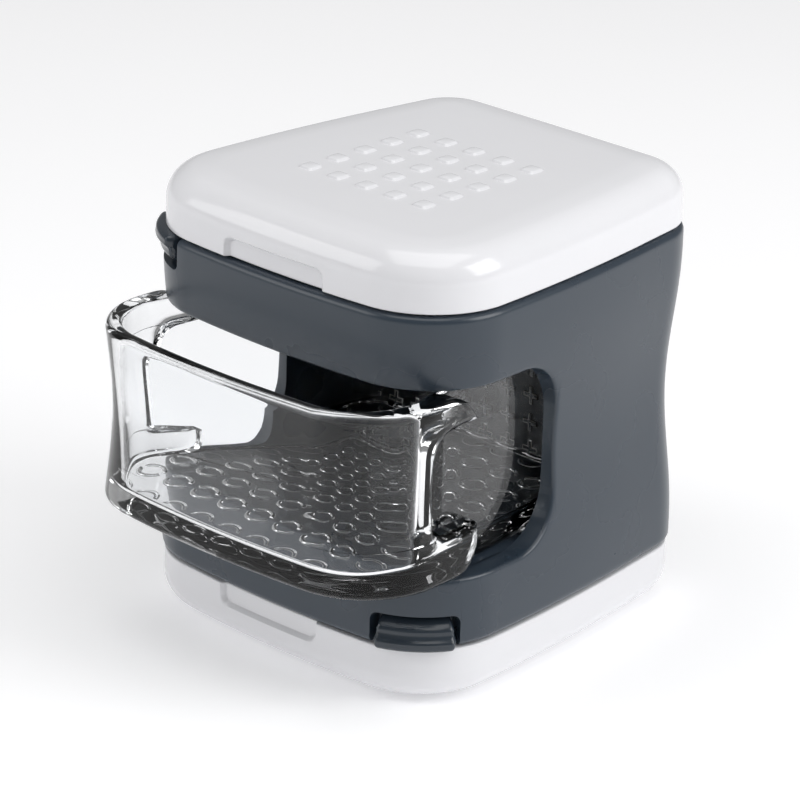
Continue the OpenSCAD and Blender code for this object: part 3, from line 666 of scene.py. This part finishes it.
pocket = arc_wall(POCKET_IN, POCKET_OUT, CASE_LOW + 1.4, CASE_LOW + POCKET_DEPTH + POCKET_LIP, 28.0)
core = [deck(WINDOW_LOW - DECK_T, WINDOW_LOW, 0), deck(WINDOW_HIGH, WINDOW_HIGH + DECK_T, CHUTE_HALF)]
core += top_core + [flipped(part) for part in top_core]
core += [boss, flipped(boss), pocket, flipped(pocket)]
casing = make_piece("casing_shell", [shell], casing_abs, "body")
casing_core = make_piece("casing_core", core, casing_abs, "body", 30.0)
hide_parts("casing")

# %% [markdown]
# ## The lids
# A white cap at each end, alike but for being turned over. The outer face is upright, then
# turns over in a wide round edge into a faintly crowned top that carries a five by five
# pattern of soft raised squares. A shallow notch for a thumb is pressed into the front rim.

# %% Lid sizes
LID_LOW = node_z("presser")[1] - 2.3
LID_WALL, LID_ROOF, LID_CROWN, LID_ROUND = 3.0, 2.8, 0.3, 5.8
PAD_H, PAD_HALF, PITCH = 0.4, 1.5, 7.0
LID_TOP = TOP_Z - PAD_H
ROOF_Z = LID_TOP - LID_ROOF - LID_CROWN
THUMB_HALF, THUMB_H, THUMB_D, THUMB_R, THUMB_EDGE = 12.25, 4.1, 1.0, 2.2, 0.7
LID_POST_X, LID_POST_Y, LID_KNUCKLE_HALF = 24, 22, 12.0
# The round edge turns through ROUND_END degrees. The skin's first INNER_ROWS rows are inside.
ROUND_END, INNER_ROWS = 80, 5
LID_CENTRE = np.array([0.0, 2.0])
print("lid from", round(LID_LOW, 2), "to", LID_TOP)


def thumb_depth(x, y, z):
    """Depth of the thumb notch: full inside a rounded rectangle on the front face.

    It falls to nothing over the rectangle's edge, as a smooth step.
    """
    r = THUMB_R
    dx = np.abs(x) - (THUMB_HALF - r)
    dz = np.abs(z - LID_LOW + THUMB_H) - (2 * THUMB_H - r)
    d = np.hypot(np.maximum(dx, 0), np.maximum(dz, 0)) + np.minimum(np.maximum(dx, dz), 0) - r
    fall = np.clip(-d / THUMB_EDGE, 0, 1)
    return THUMB_D * fall * fall * (3 - 2 * fall) * (y < -20)


def lid_shell():
    """The lid's closed skin.

    Its rows run from the middle of the inner roof, down, round the rim, up and over to the middle.
    """
    o = OUTLINE
    front = o["total"] / 2
    edges = np.array([-1.0, -0.7, -0.45, -0.2, 0.0, 0.3, 0.7, 1.2, 1.8, 2.4])
    thumb = np.concatenate([front - THUMB_HALF + edges, front + THUMB_HALF - edges])
    s = spread(o["total"], 1.2, thumb)
    p, n = along(o, s)
    turn = np.radians(np.linspace(0, ROUND_END, 15)[1:])
    last = math.radians(ROUND_END)
    inmost = BACK_R - 1
    straight = LID_TOP - LID_CROWN - LID_ROUND
    rise = LID_CROWN + LID_ROUND * (1 - math.sin(last))
    run = inmost - LID_ROUND * (1 - math.cos(last))
    rows = [(ROOF_Z, LID_WALL + 1.5), (ROOF_Z - 0.4, LID_WALL + 0.5), (ROOF_Z - 1.4, LID_WALL)]
    rows += [(LID_LOW + 0.3, LID_WALL), (LID_LOW, LID_WALL - 0.3), (LID_LOW, 0.35)]
    rows += [(LID_LOW + d, roll(d, 0.35)) for d in (0.05, 0.12, 0.22, 0.35)]
    rows += [(LID_LOW + d, 0.0)
             for d in (0.8, 1.4, 2.0, 2.6, 3.1, 3.5, 3.8, 4.1, 4.4, 4.7, 5.0, 5.3)]
    rows = [row for row in rows if row[0] < straight or row[1] > 1]
    rows += [(straight + LID_ROUND * math.sin(a), LID_ROUND * (1 - math.cos(a)))
             for a in np.concatenate([[0], turn])]
    rows += [(LID_TOP - rise * (1 - math.sin(f * math.pi / 2)), inmost - run * (1 - f))
             for f in (0.2, 0.4, 0.6, 0.8, 1.0)]
    z = np.array([row[0] for row in rows])[:, None] + 0 * s
    inset = np.array([row[1] for row in rows])[:, None] + 0 * s
    outside = np.arange(len(rows))[:, None] >= INNER_ROWS
    x, y = p[:, 0] + 0 * z, p[:, 1] + 0 * z
    inset = inset + thumb_depth(x, y, z) * outside * (n[:, 1] < -0.5)
    skin = np.dstack([x - n[:, 0] * inset, y - n[:, 1] * inset, z])
    inwards = np.array([0.75, 0.5, 0.25])[:, None, None]
    roof = LID_CENTRE + (skin[0, :, :2] - LID_CENTRE) * inwards[::-1]
    top = LID_CENTRE + (skin[-1, :, :2] - LID_CENTRE) * inwards
    roof = np.dstack([roof, np.full(roof.shape[:2], ROOF_Z)])
    top = np.dstack([top, np.full(top.shape[:2], LID_TOP)])
    return poled(np.concatenate([roof, skin, top]))


def soft_square(x, y):
    """A raised square with a flat top and soft sides: rings of a rounded square, each lower and wider."""
    angle = np.linspace(0, 2 * np.pi, 24, endpoint=False)
    around = np.stack([np.cos(angle), np.sin(angle)], -1)
    around /= (np.abs(around) ** 7).sum(1, keepdims=True) ** (1 / 7)
    levels = [(-0.3, 0.45), (0.0, 0.25), (0.12, 0.1), (0.25, 0.0), (0.34, -0.12), (0.4, -0.4)]
    rings = [np.column_stack([around * (PAD_HALF + grow) + (x, y), np.full(24, LID_TOP + up)])
             for up, grow in levels]
    return poled(np.array(rings))


def lid_knuckle():
    """The barrel on the lid's rear skirt with the strap that carries it.

    It is a teardrop profile carried along X.
    """
    half = LID_KNUCKLE_HALF
    turn = np.radians(np.linspace(90, -180, 28))
    loop = np.column_stack([HINGE_Y + KNUCKLE_R * np.cos(turn), HINGE_Z + KNUCKLE_R * np.sin(turn)])
    strap = [(HINGE_Y - 2.7, HINGE_Z), (HINGE_Y - 2.7, LID_LOW + 1.0), (HINGE_Y - 0.15, LID_LOW + 1.0),
             (HINGE_Y - 0.15, HINGE_Z + KNUCKLE_R + 0.2)]
    loop = np.array(loop.tolist()[:-1] + strap)
    xs = [-half, -half + 0.25, half - 0.25, half]
    middle = loop.mean(0)
    rows = [np.column_stack([np.full(len(loop), x), middle + (loop - middle) * k])
            for x, k in zip(xs, (0.92, 1.0, 1.0, 0.92))]
    verts, faces = poled(np.array(rows))
    return verts, [face[::-1] for face in faces]


# %% Build both lids
lid_parts = [lid_shell(), lid_knuckle()]
lid_parts += [soft_square((i - 2) * PITCH, (j - 2) * PITCH) for i in range(5) for j in range(5)]
lid_parts += [placed(tube(SCREW_R, POST_R, LID_LOW + 2.7, ROOF_Z + 0.6), Matrix.Translation((x, y, 0)))
              for x in (-LID_POST_X, LID_POST_X) for y in (-LID_POST_Y, LID_POST_Y)]
top_lid = make_piece("top_lid_cap", lid_parts, lid_abs, "upper_lid", 35.0)
bottom_lid = make_piece("bottom_lid_cap", [flipped(part) for part in lid_parts], lid_abs,
                        "lower_lid", 35.0)
for made, node in ((top_lid, "top_lid"), (bottom_lid, "bottom_lid")):
    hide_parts(node)

# %% [markdown]
# ## The push buttons
# A curved bar at one front corner of each end, with a finger groove along it and rounded
# ends. Its section is carried round the corner's arc and shrinks towards the ends.

# %% Build the buttons
BUTTON_LOW, BUTTON_H, BUTTON_HALF, BUTTON_IN, BUTTON_OUT = 11.35, 5.7, 24.0, 15.4, 18.9


def button_bar():
    """A grooved section carried round the corner; near each end it falls back as a quarter circle does."""
    height = np.array([0, .02, .06, .12, .18, .22, .27, .31, .36, .42,
                       .5, .58, .64, .70, .77, .85, .92, .97, 1])
    depth = np.array([1.1, .65, .3, .12, .08, .14, .02, .05, .3, .66,
                      .9, .95, .92, 1.05, 1.45, 2.0, 2.5, 2.85, 3.2])
    u = np.sin(np.linspace(-np.pi / 2, np.pi / 2, 61))
    past = np.clip((np.abs(u) - 0.86) / 0.14, 0, 1)
    shrink = np.sqrt(1 - (past * 0.985) ** 2)
    back = np.stack([np.full(len(u), BUTTON_IN), np.full(len(u), BUTTON_IN)])
    r = BUTTON_OUT - depth[:, None] - (1 - shrink) * 1.6
    mid = BUTTON_LOW + BUTTON_H / 2
    z = mid + (height[:, None] - 0.5) * BUTTON_H * (0.62 + 0.38 * shrink)
    r = np.concatenate([back[:1], r, back[1:]])
    z = np.concatenate([z[:1], z, z[-1:]])
    turn = np.radians(LATCH_TURN + BUTTON_HALF * u)
    points = np.stack([CORNER[0] + r * np.cos(turn), CORNER[1] + r * np.sin(turn), z], -1)
    verts, faces = poled(points.transpose(1, 0, 2))
    return verts, [face[::-1] for face in faces]


stem = placed(tube(0.3, 1.2, 11.7, 15.6, 24), corner_matrix(SPRING_Z) @ along_x)
hook = placed(block((12.6, -3, 9.3), (13.6, 3, 12.6)), corner_matrix(0))
arm = placed(block((12.6, -3, 11.6), (16.3, 3, 12.6)), corner_matrix(0))
button_parts = [button_bar(), stem, hook, arm]
bottom_button = make_piece("bottom_button", button_parts, button_abs, "lower_button", 50.0)
top_button = make_piece("top_button", [flipped(part) for part in button_parts], button_abs,
                        "upper_button", 50.0)
for made, node in ((bottom_button, "bottom_latch"), (top_button, "top_latch")):
    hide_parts(node)

# %% [markdown]
# Behind each button sits a coil spring of four turns, which shortens by the button's travel in the real
# piece.
# Here it is drawn anew as a tube along a helix and rides on the body.

# %% Latch springs
COIL_R, WIRE_R, COIL_TURNS = 1.75, 0.22, 4
COIL_LOW, COIL_HIGH, TRAVEL = 10.3, 15.3, 1.2


def coil():
    """Tube along a helix about X: a circle of wire radius carried round the coil while X climbs evenly."""
    a = np.linspace(0, 2 * np.pi * COIL_TURNS, 24 * COIL_TURNS + 1)[:, None]
    b = np.linspace(0, 2 * np.pi, 10, endpoint=False)[None, :]
    radius = COIL_R + WIRE_R * np.cos(b)
    climb = COIL_LOW + WIRE_R + (COIL_HIGH - COIL_LOW - 2 * WIRE_R) * a / a[-1]
    return poled(np.stack([climb + WIRE_R * np.sin(b), radius * np.cos(a), radius * np.sin(a)], -1))


spring = placed(coil(), corner_matrix(SPRING_Z))
for end, side, part in (("bottom", 1, spring), ("top", -1, flipped(spring))):
    made = make_piece(end + "_spring", [part], screw_steel, "body", 60.0)
    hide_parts(end + "_latch_spring")
    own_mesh(made)

# %% [markdown]
# ## The crystal drawer
# One thick moulding of clear polystyrene. Its front carries on the casing's waisted outline
# and ends at each side in a grip with a finger cut, and a thinner cup runs back inside the
# casing. Clear plastic shows every face twice, so the whole drawer is one closed skin: from
# the middle of the underside, out, up the outer face, over the lip, down the inside and
# across the floor.

# %% Drawer sizes
PULL = 15.2
CUP_OUT, CUP_WALL, CUP_FRONT, CUP_FLOOR, CUP_BACK = 4.7, 1.8, 3.0, 3.4, 34.0
GRIP_TIP, GRIP_HIGH_R, GRIP_LOW_R = -5.9, 10.0, 7.0
CUT_FRONT, CUT_HIGH_R, CUT_LOW_R = -17.8, 4.5, 2.0
CUT_LOW, CUT_HIGH = DRAWER_LOW + 8.7, DRAWER_HIGH - 6.0
LIP_R = 1.5
DRAWER_OUTLINE = make_outline(
    FRONT_HALF, BACK_HALF + 0.75, CUP_BACK + CUP_OUT - 0.2, 9.5)


def grip_edge(z):
    """How far back the grips reach at height z.

    That is the tip plane with rounded corners, or the cut's front at the finger cut's heights.
    """
    up = np.clip(z - (DRAWER_HIGH - GRIP_HIGH_R), 0, GRIP_HIGH_R)
    down = np.clip(DRAWER_LOW + GRIP_LOW_R - z, 0, GRIP_LOW_R)
    tip = GRIP_TIP - roll(GRIP_HIGH_R - up, GRIP_HIGH_R) - roll(GRIP_LOW_R - down, GRIP_LOW_R)
    high = roll(CUT_HIGH - z, CUT_HIGH_R)
    low = roll(z - CUT_LOW, CUT_LOW_R)
    return np.where((z > CUT_LOW) & (z < CUT_HIGH), CUT_FRONT + high + low, tip)


def grip_distance(y, z):
    """Distance inside the grip's side view from its nearest edge: the rounded outline or the finger cut."""
    r = np.where(z > MID_Z, GRIP_HIGH_R, GRIP_LOW_R)
    middle, half = (DRAWER_HIGH + DRAWER_LOW) / 2, (DRAWER_HIGH - DRAWER_LOW) / 2
    dy, dz = y - (GRIP_TIP - r), np.abs(z - middle) - (half - r)
    outside = np.hypot(np.maximum(dy, 0), np.maximum(dz, 0)) + np.minimum(np.maximum(dy, dz), 0) - r
    r = np.where(z > (CUT_LOW + CUT_HIGH) / 2, CUT_HIGH_R, CUT_LOW_R)
    dy = (CUT_FRONT + r) - y
    dz = np.abs(z - (CUT_LOW + CUT_HIGH) / 2) - ((CUT_HIGH - CUT_LOW) / 2 - r)
    cut = np.hypot(np.maximum(dy, 0), np.maximum(dz, 0)) + np.minimum(np.maximum(dy, dz), 0) - r
    return np.maximum(np.minimum(-outside, cut), 0)


def smooth_step(x, start, end):
    """0 before start, 1 after end, with a soft change between."""
    t = np.clip((x - start) / (end - start), 0, 1)
    return t * t * (3 - 2 * t)


def drawer_skin():
    """The closed skin described above, and the outline of its floor.

    Columns gather at the grips' tips, where the outer face steps in to the cup.
    """
    o = DRAWER_OUTLINE
    near = np.array([0.0, 0.08, 0.25, 0.5, 0.85, 1.2, 1.6])
    ledges = [c + side * (near + 0.01) for c in (CUT_LOW, CUT_HIGH) for side in (-1, 1)]
    z_up = np.concatenate([DRAWER_LOW + near, DRAWER_HIGH - near, *ledges,
                           np.arange(DRAWER_LOW + 2.2, DRAWER_HIGH - 2, 0.8)])
    z_up = np.unique(z_up.round(3))
    z_up = z_up[np.concatenate([[True], np.diff(z_up) > 0.015])]
    left = s_at_y(o, grip_edge(z_up), False)[:, None]
    right = s_at_y(o, grip_edge(z_up), True)[:, None]
    rear = np.linspace(0, 1, 60)
    span = right - left
    inner_part = np.linspace(0, 1, 122)[1:-1]
    front = left + 2.0 + (span - 4.0) * inner_part
    s = np.concatenate([left * rear, left + near, left + 2.0, front, right - 2.0,
                        right - near[::-1], right + (o["total"] - right) * rear[:-1]], 1)
    gripped = np.zeros(s.shape[1], bool)
    gripped[len(rear):s.shape[1] - len(rear) + 1] = True
    p, n = along(o, s)
    z_grid = z_up[:, None] + 0 * s
    face = waisted(z_grid) + roll(grip_distance(p[..., 1], z_grid), LIP_R)
    rounded = roll(z_grid - DRAWER_LOW, 0.5) + roll(DRAWER_HIGH - z_grid, 0.5)
    outer_inset = np.where(gripped, face, CUP_OUT + rounded)
    outer = np.dstack([p - n * outer_inset[..., None], z_grid])
    base_s = s[-1]
    q, m = along(o, base_s)
    side = CUP_FRONT + 0.2 + (4.4 - CUP_FRONT) * smooth_step(q[:, 1], -36, -24)
    inner_inset = side + (CUP_OUT + CUP_WALL - 4.6) * smooth_step(q[:, 1], -24, -10)
    floor_z = DRAWER_LOW + CUP_FLOOR
    fillet = 1.6
    a = np.linspace(0, np.pi / 2, 8)
    levels = [(DRAWER_HIGH - k, roll(k, 0.7)) for k in (0, 0.06, 0.2, 0.42, 0.7)]
    levels += [(zz, 0.0) for zz in np.linspace(DRAWER_HIGH - 3, floor_z + fillet + 1, 12)]
    levels += [(floor_z + fillet * (1 - math.sin(k)), fillet * (1 - math.cos(k))) for k in a]
    sign = np.array([-1.0] * 5 + [1.0] * (len(levels) - 5))
    inner = [np.column_stack([q - m * (inner_inset + sg * g)[:, None], np.full(len(q), zz)])
             for (zz, g), sg in zip(levels, sign)]
    inner = np.array(inner)
    centre = np.array([0.0, -2.0])
    shrink = np.array([0.8, 0.55, 0.3])[:, None, None]
    floor = centre + (inner[-1, :, :2] - centre) * shrink
    under = centre + (outer[0, :, :2] - centre) * shrink[::-1]
    floor = np.dstack([floor, np.full(floor.shape[:2], floor_z)])
    under = np.dstack([under, np.full(under.shape[:2], DRAWER_LOW)])
    verts, faces = poled(np.concatenate([under, outer, inner, floor]))
    return verts - (0, PULL, 0), faces, inner[-1, :, :2] - (0, PULL)


# %% [markdown]
# The floor carries rows of small broken rings and the rear wall rows of small crosses, so
# that tablets don't cling to the plastic. Each mark is a low ridge of the same plastic that
# lies on the face with a hair's gap, and the faces under them get the ringed and the crossed
# material, whose relief in the same places bends the light at the ridges' rims, and whose
# slopes are partly white diffuse, a painted highlight that brightens those rims.

# %% Build the drawer
def face_values(mesh, name):
    """The centre or the normal of every face of a mesh, one row for each."""
    values = np.empty(len(mesh.polygons) * 3, "f")
    mesh.polygons.foreach_get(name, values)
    return values.reshape(-1, 3)


drawer_points, drawer_faces, floor_edge = drawer_skin()
drawer = make_piece("crystal_drawer", [(drawer_points, drawer_faces)], crystal, "tray", 38.0)
drawer_mesh = drawer.data
drawer_mesh.materials.append(crystal_rings)
drawer_mesh.materials.append(crystal_crosses)
centres = face_values(drawer_mesh, "center") / MM
normals = face_values(drawer_mesh, "normal")
on_floor = (normals[:, 2] > 0.97) & (abs(centres[:, 2] - DRAWER_LOW - CUP_FLOOR) < 0.2)
on_rear = (normals[:, 1] < -0.9) & (centres[:, 1] > 10) & (centres[:, 2] > DRAWER_LOW + 1)
drawer_mesh.polygons.foreach_set("material_index", np.where(on_floor, 1, np.where(on_rear, 2, 0)))
print("ringed faces", on_floor.sum(), "crossed faces", on_rear.sum())
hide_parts("drawer")


# %% Embossed marks
MARK_HIGH, MARK_GAP, MARK_ROOM = 0.32, 0.03, 3.0


def lattice(start, pitch, low, high):
    """Points start + pitch * whole numbers between low and high, as one array of (u, v)."""
    axes = [start[k] + pitch[k] * np.arange(math.ceil((low[k] - start[k]) / pitch[k]),
                                            math.floor((high[k] - start[k]) / pitch[k]) + 1)
            for k in (0, 1)]
    return np.stack(np.meshgrid(*axes, indexing="ij"), -1).reshape(-1, 2)


def sites_inside(sites, edge, room):
    """The sites that lie within a closed edge, seen from its middle, and over room away from it."""
    middle = edge.mean(0)
    edge_turn, edge_far = np.arctan2(*(edge - middle).T[::-1]), np.hypot(*(edge - middle).T)
    site_turn, site_far = np.arctan2(*(sites - middle).T[::-1]), np.hypot(*(sites - middle).T)
    order = np.argsort(edge_turn)
    near_edge = np.hypot(*(sites[:, None] - edge).transpose(2, 0, 1)).min(1)
    return sites[(site_far < np.interp(site_turn, edge_turn[order], edge_far[order])) & (near_edge > room)]


def ring_ridges(sites, z):
    """Two arcs of a low round ridge per site.

    A half ellipse as tall as MARK_HIGH is carried round the ring's radius.
    """
    turn = np.radians(np.linspace(16, 164, 15))
    a = np.linspace(0, np.pi, 8)
    radius = RING_R + RING_WIRE * 0.8 * np.cos(a)
    rise = MARK_HIGH * np.sin(a)
    parts = []
    for x, y in sites:
        for start in (0.0, np.pi):
            t = turn[:, None] + start
            parts.append(poled(np.stack([x + radius * np.cos(t), y + radius * np.sin(t),
                                         z + MARK_GAP + rise + 0 * t], -1)))
    return parts


def cross_ridges(sites, y):
    """One plus-shaped plate per site, whose front face is a little smaller than its back."""
    h, w = CROSS_HALF, CROSS_WIRE
    plus = np.concatenate([[(h, -w), (h, w), (w, w), (w, h), (-w, h), (-w, w)],
                           [(-h, w), (-h, -w), (-w, -w), (-w, -h), (w, -h), (w, -w)]])
    parts = []
    for (x, z), wall in zip(sites, y):
        rows = [np.column_stack([x + plus[:, 0] * f, np.full(len(plus), wall - MARK_GAP - d),
                                 z + plus[:, 1] * f]) for d, f in ((0, 1), (MARK_HIGH * 0.7, 1),
                                                                   (MARK_HIGH, 0.93))]
        parts.append(poled(np.array(rows)))
    return parts


ring_sites = lattice(RING_START, RING_PITCH, floor_edge.min(0), floor_edge.max(0))
ring_sites = sites_inside(ring_sites, floor_edge, MARK_ROOM)
rear_points = centres[on_rear][np.argsort(centres[on_rear][:, 0])]
low, high = rear_points.min(0) + MARK_ROOM, rear_points.max(0) - MARK_ROOM
cross_sites = lattice(CROSS_START, CROSS_PITCH, low[[0, 2]], high[[0, 2]])
rear_y = np.interp(cross_sites[:, 0], rear_points[:, 0], rear_points[:, 1])
print("rings", len(ring_sites), "crosses", len(cross_sites), "rear wall y", rear_y.min(), rear_y.max())
for name, parts in (("drawer_rings", ring_ridges(ring_sites, DRAWER_LOW + CUP_FLOOR)),
                    ("drawer_crosses", cross_ridges(cross_sites, rear_y))):
    marks = make_piece(name, parts, crystal, "tray", 50.0)
    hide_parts("drawer")

# %% [markdown]
# ## Pieces that keep their CAD shape
# The blades, the inserts, the screws and the pins already have their true
# shape in the frame. They only need their finish.

# %% Finishes for the CAD nodes
FINISH = {"insert_abs": insert_abs, "liner_abs": liner_abs, "blade_steel": blade_steel,
          "screw_steel": screw_steel, "casing_abs": casing_abs, "lid_abs": lid_abs,
          "latch_abs": button_abs, "clear_polystyrene": crystal}
for part in frame["record"]["subparts"]:
    mesh = frame["nodes"][part["node"]].data
    mesh.materials.clear()
    mesh.materials.append(FINISH[part["material_slot"]])

# %% [markdown]
# ## Studio
# A pale floor and broad soft lights, as for a catalogue: one large light above, a strong
# one on the right and a weaker one on the left, so that the right side reads lighter.

# %% Floor, world and lights
GLOW, WORLD_LIGHT = 0.25, 0.25


def floor_material():
    """White acrylic of a light table: matt and very faintly mottled.

    It glows a little, so that shadows stay pale.
    """
    material, tree, shader = new_material("acrylic_light_table")
    place = add_node(tree, "ShaderNodeTexCoord").outputs["Object"]
    mottle = add_node(tree, "ShaderNodeTexNoise", None, Vector=place, Scale=MOTTLE)
    tone = add_node(tree, "ShaderNodeMix", {"data_type": "RGBA"}, Factor=mottle.outputs["Fac"])
    tone.inputs[6].default_value = linear("#f4f4f5")
    tone.inputs[7].default_value = linear("#f6f6f7")
    tree.links.new(tone.outputs[2], shader.inputs["Base Color"])
    tree.links.new(tone.outputs[2], shader.inputs["Emission Color"])
    shader.inputs["Emission Strength"].default_value = GLOW
    shader.inputs["Roughness"].default_value = 0.9
    return material


# In metres: half the floor's width, and its height just under the object.
FLOOR_HALF, FLOOR_Z = 3.0, -0.0002
floor_mesh = bpy.data.meshes.new("studio_floor")
floor_mesh.from_pydata([(x * FLOOR_HALF, y * FLOOR_HALF, FLOOR_Z)
                        for x, y in ((-1, -1), (1, -1), (1, 1), (-1, 1))], [], [(0, 1, 2, 3)])
floor = bpy.data.objects.new("studio_floor", floor_mesh)
bpy.context.scene.collection.objects.link(floor)
floor_mesh.materials.append(floor_material())

world = bpy.data.worlds.new("studio")
bpy.context.scene.world = world
world.use_nodes = True
world.node_tree.nodes["Background"].inputs["Color"].default_value = (1, 1, 1, 1)
world.node_tree.nodes["Background"].inputs["Strength"].default_value = WORLD_LIGHT


def soft_light(name, azimuth, elevation, distance, width, watts):
    """A square area light that looks at the middle of the object from a compass angle and a height."""
    a, e = math.radians(azimuth), math.radians(elevation)
    back = Vector((math.sin(a) * math.cos(e), -math.cos(a) * math.cos(e), math.sin(e)))
    data = bpy.data.lights.new(name, "AREA")
    data.size = width
    data.energy = watts
    lamp = bpy.data.objects.new(name, data)
    bpy.context.scene.collection.objects.link(lamp)
    lamp.location = Vector((0, 0, MID_Z * MM)) + back * distance
    lamp.rotation_mode = "QUATERNION"
    lamp.rotation_quaternion = (-back).to_track_quat("-Z", "Y")
    return lamp


# Name, azimuth and elevation in degrees, distance and width in metres, and watts.
for values in (("light_above", 30, 80, 0.9, 0.9, 4.6),
               ("light_right", 115, 30, 0.8, 0.5, 3.0),
               ("light_left", -40, 25, 0.9, 0.5, 1.6)):
    soft_light(*values)
bpy.context.scene.view_settings.view_transform = "Standard"

# %% Camera
# Angles are in degrees, the distance in metres, and the lens and the sensor in millimetres.
AZIMUTH, ELEVATION, ROLL = 43.259, 21.786, 1.490
DISTANCE, LENS, SENSOR = 0.7886, 194.39, 36.0
AIM_RIGHT, AIM_UP = -2.72 * MM, -2.24 * MM
azimuth, elevation = math.radians(AZIMUTH), math.radians(ELEVATION)
back = Vector((math.sin(azimuth) * math.cos(elevation), -math.cos(azimuth) * math.cos(elevation),
               math.sin(elevation)))
level = Vector((math.cos(azimuth), math.sin(azimuth), 0))
upward = back.cross(level)
right = level * math.cos(math.radians(ROLL)) + upward * math.sin(math.radians(ROLL))
up = upward * math.cos(math.radians(ROLL)) - level * math.sin(math.radians(ROLL))
aim = Vector((0, 0, MID_Z * MM)) + level * AIM_RIGHT + upward * AIM_UP
camera_data = bpy.data.cameras.new("camera")
camera_data.lens = LENS
camera_data.sensor_width = SENSOR
camera_data.clip_start, camera_data.clip_end = 0.01, 20.0
camera = bpy.data.objects.new("camera", camera_data)
bpy.context.scene.collection.objects.link(camera)
camera.matrix_world = Matrix.Translation(aim + back * DISTANCE) @ Matrix(
    (right, up, back)).transposed().to_4x4()
bpy.context.scene.camera = camera
